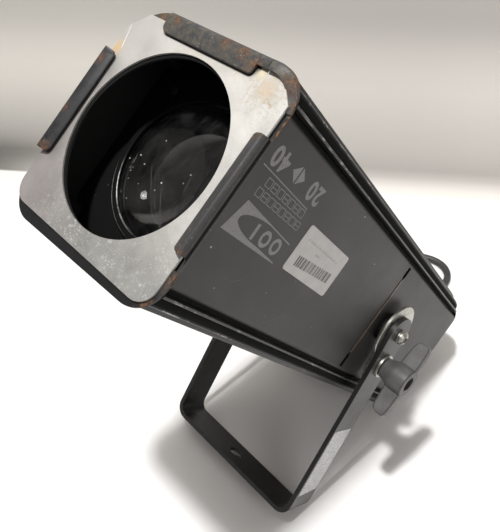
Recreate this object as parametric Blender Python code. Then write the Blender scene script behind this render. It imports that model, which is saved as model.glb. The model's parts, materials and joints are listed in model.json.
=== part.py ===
"""Profile spotlight: a square four-post lamp house on a U-shaped yoke, lens end up.

Body frame, millimetres: X to the right side, Y to the underside of the hanging
lantern, Z forward along the beam, with the colour frame's front face at Z = 0.
The whole object stands on the floor, pitched so that the rear lower edge of the
housing and the rear corner of the yoke's crossbar both touch it.
Ground frame, millimetres: X as above, Y rearward, Z up. The cord is laid in it.
"""

import math

import bmesh
import bpy
from mathutils import Matrix, Vector
from mathutils.geometry import tessellate_polygon

# Driving dimensions, millimetres
MM = 0.001
GAP = 0.3
HALF = 62.5
LENGTH = 420.5
SHEET = 1.2
HOUSING_Y = 1.3
PANEL_FLAT = 47.0
PANEL_BEND = 4.2
POST_SIDE = PANEL_FLAT + PANEL_BEND + GAP
POST_FLOOR = 57.3
FIN_AT = 53.5
FIN_WIDE = 1.5
FIN_TIP = 65.6
CORNER_FIN_TIP = 61.1
COVER_R = 17.5

FRAME_HALF = 62.5
FRAME_SHEET = 1.2
FRAME_HOLE_R = 52.5
RUNNER_SHEET = 1.5
RUNNER_X = 65.5
RUNNER_Y = 69.5
RUNNER_R = 20.0
RUNNER_HOLE_R = 52.0
LIP_FACE = 5.0
LIP_BEND = 2.6

LENS_R = 46.5
LENS_EDGE = 3.0
LENS_CURVE_R = 120.0
CARRIER_SHEET = 3.0
LENS_RING_R = 47.2
LENS_RING_IN_R = 44.0

BLADE = 1.1
BLADE_STEP = BLADE + GAP
BLADE_WIDE = 70.5
BLADE_SHIFT = 1.15
BLADE_IN = 7.0
GATE_R = 27.0

PIVOT_Y = 0.5
YOKE_OUT = 75.5
YOKE_SHEET = 4.0
YOKE_BACK = 15.0
YOKE_FRONT = 17.0
YOKE_ARM = 187.0
YOKE_LEAN = math.radians(15.54)
YOKE_CORNER_R = 12.5
DISC_R = 24.8
DISC_SHEET = 2.5
KNOB_ALONG = 28.3
KNOB_OUT = 102.0
KNOB_REACH = 33.4
BOLT_R = 3.0
BOLT_HOLE_R = 3.3

GLAND_X = 18.0
GLAND_Y = 35.0
PLUG_R = 20.0

# Stations along the beam, each from the one before
REAR_Z = -LENGTH
END_Z = REAR_Z + SHEET + GAP
SLEEVE_END_Z = REAR_Z - 35.5
LAMP_Z = REAR_Z + 60.5
TRAY_Z = REAR_Z + 100.9
BULKHEAD_Z = LAMP_Z + 49.5
PIVOT_Z = BULKHEAD_Z + 36.5
GATE_Z = PIVOT_Z + 33.5
REAR_CARRIER_Z = GATE_Z + 90.5
FRONT_CARRIER_Z = -37.0
KNOB_BACK = 7.5
FRONT_TRAVEL = (-70.0, 8.0)
REAR_TRAVEL = (-60.0, 22.0)

CORD_R = 4.0
COIL_X = -55.0
COIL_Y = 318.0
COIL_START_R = 48.0
COIL_PITCH = 8.8
COIL_TURNS = 4.0
COIL_LIFT = 1.5
TIE_SHEET = 1.0

POST_END = ((29.0, 0.0), (20.0, 0.7), (12.5, 2.0), (6.5, 3.8), (2.4, 5.7), (0.0, 7.2))
INSIDE = HALF - SHEET
SEAT = INSIDE - GAP
WHITE_METAL = (0.62, 0.63, 0.64)


# Small tools

def material(name, colour, roughness, metallic):
    """One Principled material."""
    found = bpy.data.materials.new(name)
    found.use_nodes = True
    shader = found.node_tree.nodes["Principled BSDF"]
    shader.inputs["Base Color"].default_value = (*colour, 1.0)
    shader.inputs["Roughness"].default_value = roughness
    shader.inputs["Metallic"].default_value = metallic
    return found


def arc(cx, cy, r, a0, a1, n):
    """Points of an arc, both ends included, angles in degrees."""
    points = []
    for i in range(n + 1):
        a = math.radians(a0 + (a1 - a0) * i / n)
        points.append((cx + r * math.cos(a), cy + r * math.sin(a)))
    return points


def circle(cx, cy, r, n=32):
    """Points of a circle."""
    return arc(cx, cy, r, 0.0, 360.0, n)[:-1]


def round_box(x0, x1, y0, y1, r, n=4):
    """Outline of a rectangle with round corners."""
    return (
        arc(x1 - r, y1 - r, r, 0, 90, n)
        + arc(x0 + r, y1 - r, r, 90, 180, n)
        + arc(x0 + r, y0 + r, r, 180, 270, n)
        + arc(x1 - r, y0 + r, r, 270, 360, n)
    )


def box_outline(x0, x1, y0, y1):
    """Outline of a rectangle."""
    return [(x0, y0), (x1, y0), (x1, y1), (x0, y1)]


def slot_outline(x, y0, y1, half):
    """Outline of a slot with round ends, long in y."""
    return arc(x, y1 - half, half, 0, 180, 6) + arc(x, y0 + half, half, 180, 360, 6)


def flat(u, v, h):
    """Outline in X and Y, height along Z."""
    return (u, v, h)


def across(u, v, h):
    """Outline in Y and Z, height along X."""
    return (h, u, v)


def upward(u, v, h):
    """Outline in X and Z, height along Y."""
    return (u, h, v)


def side(k):
    """Outline and height on side k: u runs across the side, v along Z and h outwards."""
    a = math.radians(90.0 * k)

    def place(u, v, h):
        return (h * math.cos(a) - u * math.sin(a), h * math.sin(a) + u * math.cos(a), v)

    return place


def end_on(k):
    """A section of side k: u runs across the side, v outwards and h along Z."""
    a = math.radians(90.0 * k)

    def place(u, v, h):
        return (v * math.cos(a) - u * math.sin(a), v * math.sin(a) + u * math.cos(a), h)

    return place


def on_yoke(u, v, h):
    """Outline in the yoke's own plane: u along the arm, v across it, h along X."""
    c, s = math.cos(YOKE_LEAN), math.sin(YOKE_LEAN)
    return (h, PIVOT_Y - u * c - v * s, PIVOT_Z - u * s + v * c)


def prism(bm, outline, h0, h1, place=flat, holes=()):
    """Adds a closed prism of the outline, with through holes, to bm."""
    loops = [outline, *holes]
    low = [[bm.verts.new(place(u, v, h0)) for u, v in loop] for loop in loops]
    high = [[bm.verts.new(place(u, v, h1)) for u, v in loop] for loop in loops]
    for a, b in zip(low, high):
        for i in range(len(a)):
            j = (i + 1) % len(a)
            bm.faces.new((a[i], a[j], b[j], b[i]))
    if holes:
        flat_low = [v for loop in low for v in loop]
        flat_high = [v for loop in high for v in loop]
        vectors = [[Vector((u, v, 0.0)) for u, v in loop] for loop in loops]
        for tri in tessellate_polygon(vectors):
            bm.faces.new([flat_low[i] for i in tri])
            bm.faces.new([flat_high[i] for i in reversed(tri)])
    else:
        bm.faces.new(list(reversed(low[0])))
        bm.faces.new(high[0])
    return bm


def lathe(bm, profile, steps=32, centre=(0.0, 0.0, 0.0), axis="Z"):
    """Adds a closed solid of revolution. The profile holds (r, h), and starts and
    ends on the axis unless it is a closed ring's section."""
    turn = {
        "Z": lambda x, y, h: (x, y, h),
        "X": lambda x, y, h: (h, x, y),
        "Y": lambda x, y, h: (x, h, y),
    }[axis]
    rings = []
    for r, h in profile:
        if r < 1e-6:
            p = turn(0.0, 0.0, h)
            rings.append([bm.verts.new([p[i] + centre[i] for i in range(3)])])
            continue
        ring = []
        for i in range(steps):
            a = 2 * math.pi * i / steps
            p = turn(r * math.cos(a), r * math.sin(a), h)
            ring.append(bm.verts.new([p[i] + centre[i] for i in range(3)]))
        rings.append(ring)
    pairs = list(zip(rings, rings[1:]))
    if len(rings[0]) > 1:
        pairs.append((rings[-1], rings[0]))
    for a, b in pairs:
        for i in range(steps):
            j = (i + 1) % steps
            if len(a) == 1 and len(b) == 1:
                break
            if len(a) == 1:
                bm.faces.new((a[0], b[j], b[i]))
            elif len(b) == 1:
                bm.faces.new((a[i], a[j], b[0]))
            else:
                bm.faces.new((a[i], a[j], b[j], b[i]))
    return bm


def loft(bm, sections):
    """Adds a closed solid through sections of equal point count."""
    rings = [[bm.verts.new(p) for p in section] for section in sections]
    for a, b in zip(rings, rings[1:]):
        for i in range(len(a)):
            j = (i + 1) % len(a)
            bm.faces.new((a[i], a[j], b[j], b[i]))
    bm.faces.new(list(reversed(rings[0])))
    bm.faces.new(rings[-1])
    return bm


def empty(name, parent=None, at=(0.0, 0.0, 0.0), turn=0.0):
    """A frame that other objects hang on."""
    made = bpy.data.objects.new(name, None)
    bpy.context.scene.collection.objects.link(made)
    made.parent = parent
    made.location = [c * MM for c in at]
    made.rotation_euler = (turn, 0.0, 0.0)
    return made


def put(name, bm, parent, origin=(0.0, 0.0, 0.0), base=(0.0, 0.0, 0.0)):
    """Makes an object of bm, drawn in the frame of base's parent, with its own origin."""
    bmesh.ops.recalc_face_normals(bm, faces=bm.faces[:])
    for v in bm.verts:
        v.co = (v.co - Vector(origin)) * MM
    mesh = bpy.data.meshes.new(name)
    bm.to_mesh(mesh)
    bm.free()
    made = bpy.data.objects.new(name, mesh)
    bpy.context.scene.collection.objects.link(made)
    made.parent = parent
    made.location = [(o - b) * MM for o, b in zip(origin, base)]
    return made


def node(name, bm, paint, parent, origin=(0.0, 0.0, 0.0), base=(0.0, 0.0, 0.0)):
    """A piece of the object, with its paint."""
    made = put(name, bm, parent, origin, base)
    made.data.materials.append(paint)
    return made


def boolean(made, bm, what):
    """Cuts bm from the piece, or joins it on. Its shapes share the piece's frame."""
    count = sum(m.type == "BOOLEAN" for m in made.modifiers)
    origin = made["drawn_from"] if "drawn_from" in made else (0.0, 0.0, 0.0)
    tool = put(f"tool_{made.name}_{count}", bm, made.parent, tuple(origin))
    tool.location = made.location
    tool.hide_render = True
    tool.display_type = "WIRE"
    change = made.modifiers.new(what.lower(), "BOOLEAN")
    change.operation = what
    change.solver = "EXACT"
    change.object = tool
    return made


def moving(made, origin):
    """Notes the point that the piece was drawn from, for its Boolean tools."""
    made["drawn_from"] = [float(c) for c in origin]
    return made


def smooth(made, angle=35.0):
    """Smooth shading with sharp edges kept."""
    made.data.shade_smooth()
    made.data.set_sharp_from_angle(angle=math.radians(angle))
    return made


# Housing

def inner_outline(inset=0.0):
    """Outline that fits inside the four panels, clear of their bends and flanges."""
    far = SEAT - inset
    near = 46.0 - inset
    diagonal = 50.4 - inset
    quarter = [(far, near), (diagonal, diagonal), (near, far)]
    points = []
    for k in range(4):
        a = math.radians(90.0 * k)
        for x, y in quarter:
            points.append((x * math.cos(a) - y * math.sin(a), x * math.sin(a) + y * math.cos(a)))
    return points


def post_section(drop=0.0):
    """Section of a corner post: a core, a fin on each side and one on the corner."""
    low = FIN_AT - FIN_WIDE / 2
    high = FIN_AT + FIN_WIDE / 2
    tip = FIN_TIP - drop
    corner = CORNER_FIN_TIP - 0.55 * drop
    slope = 0.53 * FIN_WIDE
    half_way = [
        (POST_SIDE + 0.6, POST_SIDE),
        (POST_FLOOR, POST_SIDE),
        (POST_FLOOR, low),
        (tip - 0.3, low),
        (tip, low + 0.3),
        (tip, high - 0.3),
        (tip - 0.3, high),
        (POST_FLOOR, high),
        (POST_FLOOR - 0.1, POST_FLOOR - 0.1 - slope),
        (corner + 0.1, corner + 0.1 - slope),
        (corner + 0.2, corner - 0.25),
    ]
    return half_way + [(y, x) for x, y in reversed(half_way)]


def corner_posts(root, paint):
    """Four ribbed posts, one mesh turned to each corner. The fins fall away at the rear."""
    front = -(2 * RUNNER_SHEET + GAP)
    stations = [(front, 0.0)] + [(END_Z + back, drop) for back, drop in POST_END]
    bm = bmesh.new()
    loft(bm, [[(x, y, z) for x, y in post_section(drop)] for z, drop in stations])
    first = smooth(node("corner_post_1", bm, paint, root), 25.0)
    for k in range(1, 4):
        other = bpy.data.objects.new(f"corner_post_{k + 1}", first.data)
        bpy.context.scene.collection.objects.link(other)
        other.parent = root
        other.rotation_euler = (0.0, 0.0, math.radians(90.0 * k))


def panel_section():
    """Section of a folded panel: a flat face, a soft bend and a flange at each edge."""
    top = HALF - PANEL_BEND
    inner_r = PANEL_BEND - SHEET
    end = PANEL_FLAT + PANEL_BEND
    right = [(end, 53.0)] + arc(PANEL_FLAT, top, PANEL_BEND, 0, 90, 6)
    left = [(-x, y) for x, y in reversed(right)]
    inner_right = [(end - SHEET, 53.0)] + arc(PANEL_FLAT, top, inner_r, 0, 90, 6)
    inner_left = [(-x, y) for x, y in reversed(inner_right)]
    return right + left + list(reversed(inner_left)) + list(reversed(inner_right))


def shutter_slot(z):
    """Outline of a shutter slot: a thin middle and two wide ends."""
    thin = 1.35
    wide = 2.4
    low, high = GAP - PANEL_FLAT, PANEL_FLAT - GAP
    inner_low, inner_high = low + 11.0, high - 9.5
    return [
        (low, z - wide),
        (inner_low, z - wide),
        (inner_low, z - thin),
        (inner_high, z - thin),
        (inner_high, z - wide),
        (high, z - wide),
        (high, z + wide),
        (inner_high, z + wide),
        (inner_high, z + thin),
        (inner_low, z + thin),
        (inner_low, z + wide),
        (low, z + wide),
    ]


def blade_z(k):
    """Middle plane of the blade on side k. Side 1 is foremost, then 0, 2 and 3."""
    return GATE_Z + {1: BLADE_STEP, 0: 0.0, 2: -BLADE_STEP, 3: -2 * BLADE_STEP}[k]


def panel(name, k, z0, z1, root, paint, extra=()):
    """A folded panel on side k, with its cut-outs."""
    bm = bmesh.new()
    prism(bm, panel_section(), z0, z1, end_on(k))
    made = node(name, bm, paint, root)
    cuts = bmesh.new()
    outlines = list(extra)
    if z0 < GATE_Z < z1:
        outlines.append(shutter_slot(blade_z(k)))
    for outline in outlines:
        prism(cuts, outline, 58.0, HALF + 4.0, side(k))
    if len(cuts.verts):
        boolean(made, cuts, "DIFFERENCE")
    else:
        cuts.free()
    return smooth(made, 25.0)


def panels(root, paint):
    """Right, underside, left and top panels."""
    front = -(2 * RUNNER_SHEET + GAP)
    rear = END_Z
    pivot_hole = circle(PIVOT_Y - HOUSING_Y, PIVOT_Z, BOLT_HOLE_R, 16)
    far_hole = circle(HOUSING_Y - PIVOT_Y, PIVOT_Z, BOLT_HOLE_R, 16)
    panel("side_panel_right", 0, rear, front, root, paint, [pivot_hole])
    panel("side_panel_left", 2, rear, front, root, paint, [far_hole])
    knob_slots = []
    for z, (back, ahead) in ((FRONT_CARRIER_Z, FRONT_TRAVEL), (REAR_CARRIER_Z, REAR_TRAVEL)):
        axis = z - KNOB_BACK
        knob_slots.append(slot_outline(0.0, axis + back - 6.5, axis + ahead + 4.5, 2.5))
    panel("underside_panel", 1, TRAY_Z + GAP, front, root, paint, knob_slots)
    vents = []
    for i in range(5):
        z = LAMP_Z + 22.0 - 15.0 * i
        vents.append([(v, u) for u, v in slot_outline(z, -32.0, 32.0, 2.2)])
    panel("top_panel", 3, rear, front, root, paint, vents)


def rear_cover(root, paint):
    """Rear plate with a rim, vents, a cable hole and a tapped hole for the tray screw."""
    rim = 9.0
    bm = bmesh.new()
    prism(bm, inner_outline(), REAR_Z + 0.2, REAR_Z + rim)
    made = node("rear_cover", bm, paint, root)
    cuts = bmesh.new()
    prism(cuts, inner_outline(SHEET), REAR_Z - 1.0, REAR_Z + rim + 3.0)
    boolean(made, cuts, "DIFFERENCE")
    plate = bmesh.new()
    prism(plate, round_box(-HALF, HALF, -HALF, HALF, COVER_R, 6), REAR_Z, REAR_Z + SHEET)
    boolean(made, plate, "UNION")
    vents = bmesh.new()
    for i in range(4):
        y = -40.0 + 11.0 * i
        outline = [(v, u) for u, v in slot_outline(y, -30.0, 30.0, 2.2)]
        prism(vents, outline, REAR_Z - 2.0, REAR_Z + 3.0)
    prism(vents, circle(GLAND_X, GLAND_Y, 6.3, 24), REAR_Z - 2.0, REAR_Z + 3.0)
    prism(vents, circle(0.0, REAR_Z + 6.0, 2.3, 16), 56.0, HALF + 2.0, upward)
    return boolean(made, vents, "DIFFERENCE")


# Colour frame and its runner

def lip_section(width):
    """Section of a bent lip: root in the ring's sheet, a bend, a wall, a bend and the lip."""
    sheet = RUNNER_SHEET
    low = -2 * sheet + 0.1
    high = -sheet - 0.1
    r = LIP_BEND
    inner_r = r - sheet
    outer = [(-7.0, low), (-r, low)] + arc(-r, low + r, r, 270, 360, 4)[1:]
    outer += arc(-r, LIP_FACE - r, r, 0, 90, 4)
    outer += [(-width + 0.5, LIP_FACE), (-width, LIP_FACE - 0.5)]
    inner = [(-width, LIP_FACE - sheet + 0.4), (-width + 0.4, LIP_FACE - sheet)]
    inner += list(reversed(arc(-r, LIP_FACE - r, inner_r, 0, 90, 4)))
    inner += [(-r + inner_r, high + 0.9), (-r + inner_r - 0.6, high), (-7.0, high)]
    return outer + inner


def runner(root, paint):
    """Pressed steel ring behind the colour frame, with three bent lips that hold it."""
    outline = round_box(-RUNNER_X, RUNNER_X, -RUNNER_Y, RUNNER_Y, RUNNER_R, 7)
    z0 = -2 * RUNNER_SHEET
    z1 = -RUNNER_SHEET
    lips = (
        (0, RUNNER_X, -31.0, 34.0, 8.5),
        (1, RUNNER_Y, -35.0, 32.0, 12.0),
        (2, RUNNER_X, -35.0, 32.0, 9.5),
    )
    bm = bmesh.new()
    prism(bm, outline, z0, z1, flat, [circle(0.0, 0.0, RUNNER_HOLE_R, 56)])
    made = node("colour_frame_runner", bm, paint, root)
    cuts = bmesh.new()
    for k, edge, low, high, width in lips:
        strip = LIP_BEND + 0.4
        prism(cuts, box_outline(low - 0.4, high + 0.4, edge - strip, edge + 3.0), z0 - 1, z1 + 1, end_on(k))
        for end in (low - 8.2, high + 0.8):
            hole = round_box(end, end + 7.4, edge - strip - 1.6, edge - strip + 1.4, 1.0, 2)
            prism(cuts, hole, z0 - 1, z1 + 1, end_on(k))
    boolean(made, cuts, "DIFFERENCE")
    joined = bmesh.new()
    for k, edge, low, high, width in lips:
        points = [(edge + u, v) for u, v in lip_section(width)]
        section_lip(joined, points, low, high, k)
    boolean(made, joined, "UNION")
    return smooth(made, 30.0)


def section_lip(bm, points, low, high, k):
    """One lip along side k, its two free corners rounded off."""
    a = math.radians(90.0 * k)
    inner = min(u for u, v in points)
    stations = [
        (low, 3.0),
        (low + 0.9, 1.2),
        (low + 3.0, 0.0),
        (high - 3.0, 0.0),
        (high - 0.9, 1.2),
        (high, 3.0),
    ]
    sections = []
    for s, cut in stations:
        section = []
        for u, v in points:
            free = v > LIP_FACE - RUNNER_SHEET - 0.2 and u < inner + 1.0
            reach = u + cut if free else u
            section.append((reach * math.cos(a) - s * math.sin(a), reach * math.sin(a) + s * math.cos(a), v))
        sections.append(section)
    loft(bm, sections)


def colour_frame(root, paint):
    """Square aluminium plate with a round hole, two cut and two rounded corners."""
    cut = 11.0
    r = 12.0
    far = FRAME_HALF
    outline = [(far, far - cut), (far - cut, far), (cut - far, far), (-far, far - cut)]
    outline += arc(r - far, r - far, r, 180, 270, 6) + arc(far - r, r - far, r, 270, 360, 6)
    bm = bmesh.new()
    hole = circle(-1.65, 0.95, FRAME_HOLE_R, 56)
    prism(bm, outline, -FRAME_SHEET, 0.0, flat, [hole])
    return node("colour_frame", bm, paint, root)


# Lenses and their carriers

def lens_profile(z, radius=LENS_R, edge=LENS_EDGE, curve=LENS_CURVE_R, n=5):
    """Half section of a plano-convex lens, its edge's front corner at z, convex side forward."""
    base = math.sqrt(curve**2 - radius**2)
    points = [(0.0, z - edge), (radius, z - edge)]
    for i in range(n + 1):
        r = radius * (1 - i / n)
        points.append((r, z + math.sqrt(curve**2 - r**2) - base))
    return points


def carrier(name, z, root, paints):
    """A lens carrier with its lens, retaining ring and clamping knob. z is its front face."""
    black, glass, steel, knob_paint = paints
    origin = (0.0, 0.0, z)
    tube_r = LENS_R + 3.6
    bm = bmesh.new()
    prism(bm, inner_outline(), z - CARRIER_SHEET, z, flat, [circle(0, 0, LENS_R + 1.6, 40)])
    body = moving(node(f"{name}_lens_carrier", bm, black, root, origin), origin)
    extra = bmesh.new()
    seat_r = LENS_R + GAP
    shoulder = z - 1.3 - LENS_EDGE - GAP
    tube = [
        (seat_r, z + 0.1),
        (tube_r, z + 0.1),
        (tube_r, z - 14.0),
        (LENS_RING_IN_R, z - 14.0),
        (LENS_RING_IN_R, shoulder),
        (seat_r, shoulder),
    ]
    lathe(extra, tube, 40)
    boolean(body, extra, "UNION")
    foot = bmesh.new()
    prism(foot, box_outline(-11.0, 11.0, tube_r - 1.6, SEAT), z - 15.0, z - 1.0)
    boolean(body, foot, "UNION")
    bore = bmesh.new()
    prism(bore, circle(0.0, z - KNOB_BACK, 2.3, 16), tube_r + 2.0, SEAT + 3.0, upward)
    boolean(body, bore, "DIFFERENCE")
    bm = lathe(bmesh.new(), lens_profile(z - 1.3), 40)
    smooth(node(f"{name}_lens", bm, glass, body, origin, origin), 30.0)
    ring = [
        (LENS_RING_IN_R, z + 0.4),
        (LENS_RING_R + 1.6, z + 0.4),
        (LENS_RING_R + 1.6, z + 1.6),
        (LENS_RING_R, z + 2.4),
        (LENS_RING_IN_R + 0.6, z + 2.4),
        (LENS_RING_IN_R, z + 1.8),
    ]
    node(f"{name}_lens_ring", lathe(bmesh.new(), ring, 40), black, body, origin, origin)
    axis = (0.0, HALF, z - KNOB_BACK)
    bm = lathe(bmesh.new(), clamp_knob_profile(tube_r + 2.4), 24, (0.0, 0.0, z - KNOB_BACK), "Y")
    smooth(node(f"{name}_lens_knob", bm, knob_paint, body, axis, origin), 30.0)
    return body


def clamp_knob_profile(foot):
    """Half section of a round clamping knob with its screw, along Y."""
    face = HALF + GAP
    return [
        (0.0, foot),
        (2.0, foot),
        (2.0, face),
        (8.6, face),
        (8.6, face + 1.4),
        (6.0, face + 1.8),
        (6.0, face + 5.0),
        (8.4, face + 6.2),
        (9.0, face + 7.0),
        (9.0, face + 15.8),
        (8.0, face + 16.8),
        (0.0, face + 16.8),
    ]


# Gate and shutters

def gate(root, paint):
    """Two gate plates around the four shutter blades. The front one carries the spacers."""
    front = blade_z(1) + BLADE / 2 + GAP
    rear = blade_z(3) - BLADE / 2 - GAP
    hole = circle(0.0, 0.0, GATE_R, 48)
    bm = bmesh.new()
    prism(bm, inner_outline(), front, front + 1.5, flat, [hole])
    made = node("gate_plate_front", bm, paint, root)
    pillars = bmesh.new()
    for x, y in ((44.5, 44.5), (-44.5, 44.5), (-44.5, -44.5), (44.5, -44.5)):
        prism(pillars, circle(x, y, 3.0, 12), rear + GAP, front + 0.7)
    boolean(made, pillars, "UNION")
    bm = bmesh.new()
    prism(bm, inner_outline(), rear - 1.5, rear, flat, [hole])
    node("gate_plate_rear", bm, paint, root)


def shutter_blade(name, k, root, paint):
    """A shutter blade pushed in on side k, its folded lip flush in the slot."""
    z = blade_z(k)
    shift = BLADE_SHIFT if k == 0 else 0.0
    low, high = shift - BLADE_WIDE / 2, shift + BLADE_WIDE / 2
    place = side(k)

    def swapped(u, v, h):
        return place(u, h, v)

    outline = [(low + 3, BLADE_IN), (high - 3, BLADE_IN), (high, BLADE_IN + 3), (high, HALF - 0.6)]
    outline += [(low, HALF - 0.6), (low, BLADE_IN + 3)]
    bm = bmesh.new()
    prism(bm, outline, z - BLADE / 2, z + BLADE / 2, swapped)
    made = node(name, bm, paint, root)
    lip = bmesh.new()
    fold = [(low + 0.2, HALF - 1.1), (high - 0.2, HALF - 1.1), (high - 1.2, HALF + 0.5), (low + 1.2, HALF + 0.5)]
    prism(lip, fold, z - 1.0, z + 1.0, swapped)
    return boolean(made, lip, "UNION")


# Lamp compartment

def lamp_house(root, black, glass, mirror):
    """Bulkhead with its condenser lens, and the reflector on its bracket."""
    bm = bmesh.new()
    seat_r = 32.0
    prism(bm, inner_outline(), BULKHEAD_Z - 1.5, BULKHEAD_Z, flat, [circle(0, 0, 29.0, 40)])
    made = node("condenser_bulkhead", bm, black, root)
    seat = [
        (seat_r + GAP, BULKHEAD_Z - 0.4),
        (seat_r + 2.3, BULKHEAD_Z - 0.4),
        (seat_r + 2.3, BULKHEAD_Z + 7.0),
        (seat_r + GAP, BULKHEAD_Z + 7.0),
    ]
    boolean(made, lathe(bmesh.new(), seat, 40), "UNION")
    profile = lens_profile(BULKHEAD_Z + GAP + 4.0, seat_r, 4.0, 60.0, 5)
    smooth(node("condenser_lens", lathe(bmesh.new(), profile, 40), glass, root), 30.0)
    ring = [
        (28.8, BULKHEAD_Z + 7.3),
        (seat_r + 2.3, BULKHEAD_Z + 7.3),
        (seat_r + 2.3, BULKHEAD_Z + 8.5),
        (28.8, BULKHEAD_Z + 8.5),
    ]
    node("condenser_ring", lathe(bmesh.new(), ring, 40), black, root)

    curve = 35.0
    deep = 33.0
    sheet = 1.2
    outer = []
    inner = []
    for i in range(7):
        r = deep * i / 6
        outer.append((r, LAMP_Z - math.sqrt((curve + sheet) ** 2 - r**2)))
        inner.append((r, LAMP_Z - math.sqrt(curve**2 - r**2)))
    lathe_points = outer + list(reversed(inner))
    smooth(node("reflector", lathe(bmesh.new(), lathe_points, 32), mirror, root), 35.0)

    back = LAMP_Z - curve - sheet - GAP
    bm = bmesh.new()
    prism(bm, box_outline(-SEAT, SEAT, -30.0, 30.0), back - 9.0, back)
    bracket = node("reflector_bracket", bm, black, root)
    pocket = bmesh.new()
    prism(pocket, box_outline(-SEAT + SHEET, SEAT - SHEET, -40.0, 40.0), back - 12.0, back - 1.5)
    boolean(bracket, pocket, "DIFFERENCE")


def lamp_tray(root, paints):
    """Sliding tray in the underside with the lamp and its holder, locked by a thumb screw."""
    black, ceramic, glass, steel = paints
    z1 = TRAY_Z
    z0 = END_Z
    screw_z = REAR_Z + 6.0
    tray = panel("lamp_tray", 1, z0, z1, root, black, [circle(0.0, screw_z, 2.3, 16)])
    face = INSIDE - GAP
    bm = bmesh.new()
    outline = round_box(-21.0, 21.0, LAMP_Z - 12.0, LAMP_Z + 12.0, 4.0, 3)
    holes = [circle(x, LAMP_Z, 1.9, 12) for x in (-4.75, 4.75)]
    prism(bm, outline, 46.8, face, upward, holes)
    node("lamp_holder", bm, ceramic, tray)
    base = 46.5
    bulb_r = 9.0
    profile = [(0.0, base), (10.5, base), (10.5, 36.0), (bulb_r, 34.5)]
    profile += [(bulb_r, -6.0)] + [(r, -6.0 - h) for r, h in arc(0, 0, bulb_r, 15, 75, 4)]
    profile += [(0.0, -6.0 - bulb_r)]
    bm = lathe(bmesh.new(), profile, 28, (0.0, 0.0, LAMP_Z), "Y")
    lamp = smooth(node("lamp", bm, glass, tray), 35.0)
    pins = bmesh.new()
    for x in (-4.75, 4.75):
        prism(pins, circle(x, LAMP_Z, 1.5, 12), base - 2.0, base + 9.0, upward)
    boolean(lamp, pins, "UNION")
    out = HALF + GAP
    profile = [
        (0.0, 57.5),
        (2.0, 57.5),
        (2.0, out),
        (5.6, out),
        (5.6, out + 1.4),
        (4.0, out + 1.8),
        (6.0, out + 2.6),
        (6.0, out + 8.0),
        (5.2, out + 8.8),
        (0.0, out + 8.8),
    ]
    axis = (0.0, HALF, screw_z)
    bm = lathe(bmesh.new(), profile, 24, (0.0, 0.0, screw_z), "Y")
    smooth(node("tray_thumb_screw", bm, steel, tray, axis), 30.0)
    return tray


# Pivots, yoke and brake

def pivot_parts(root, steel, black):
    """Spacer, disc and bolt at each side. The right disc is the brake disc."""
    inner = YOKE_OUT - YOKE_SHEET
    disc_face = inner - GAP
    for sign, name, disc_r in ((1, "right", DISC_R), (-1, "left", 16.0)):
        centre = (0.0, PIVOT_Y, PIVOT_Z)
        spacer = [
            (BOLT_HOLE_R, HALF + GAP),
            (13.0, HALF + GAP),
            (11.5, HALF + GAP + 1.5),
            (11.5, disc_face - DISC_SHEET - GAP),
            (BOLT_HOLE_R, disc_face - DISC_SHEET - GAP),
        ]
        disc = [
            (BOLT_HOLE_R, disc_face - DISC_SHEET),
            (disc_r - 0.4, disc_face - DISC_SHEET),
            (disc_r, disc_face - DISC_SHEET + 0.4),
            (disc_r, disc_face - 0.4),
            (disc_r - 0.4, disc_face),
            (BOLT_HOLE_R, disc_face),
        ]
        head = YOKE_OUT + GAP
        bolt = [
            (0.0, 54.6),
            (5.2, 54.6),
            (5.8, 55.2),
            (5.8, INSIDE - GAP),
            (BOLT_R, INSIDE - GAP),
            (BOLT_R, head),
            (5.6, head),
            (5.6, head + 0.9),
            (4.4, head + 0.9),
            (4.4, head + 1.9),
            (6.0, head + 1.9),
            (6.0, head + 3.3),
            (5.3, head + 4.6),
            (3.9, head + 5.6),
            (2.3, head + 6.1),
            (2.1, head + 3.6),
            (0.0, head + 3.6),
        ]
        for part, profile, steps, paint in (
            ("spacer", spacer, 32, black),
            ("disc", disc, 48, steel),
            ("pivot_bolt", bolt, 24, steel),
        ):
            points = [(r, sign * h) for r, h in profile]
            bm = lathe(bmesh.new(), points, steps, centre, "X")
            made = smooth(node(f"{name}_{part}", bm, paint, root), 30.0)
            if part == "disc" and sign > 0:
                window = bmesh.new()
                prism(window, round_box(-11.0, 2.0, 11.5, 19.2, 0.8, 2), 66.0, 74.0, on_yoke)
                boolean(made, window, "DIFFERENCE")


def yoke_section(a, x0, x1):
    """One end of the flat bar at distance a along the arm, rounded at the free end."""
    half = (YOKE_FRONT + YOKE_BACK) / 2
    middle = (YOKE_FRONT - YOKE_BACK) / 2
    wide = half if a >= 0 else math.sqrt(max(half**2 - a**2, 1.0))
    low, high = middle - wide, middle + wide
    return [on_yoke(a, v, h) for v, h in ((low, x0), (high, x0), (high, x1), (low, x1))]


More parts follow.
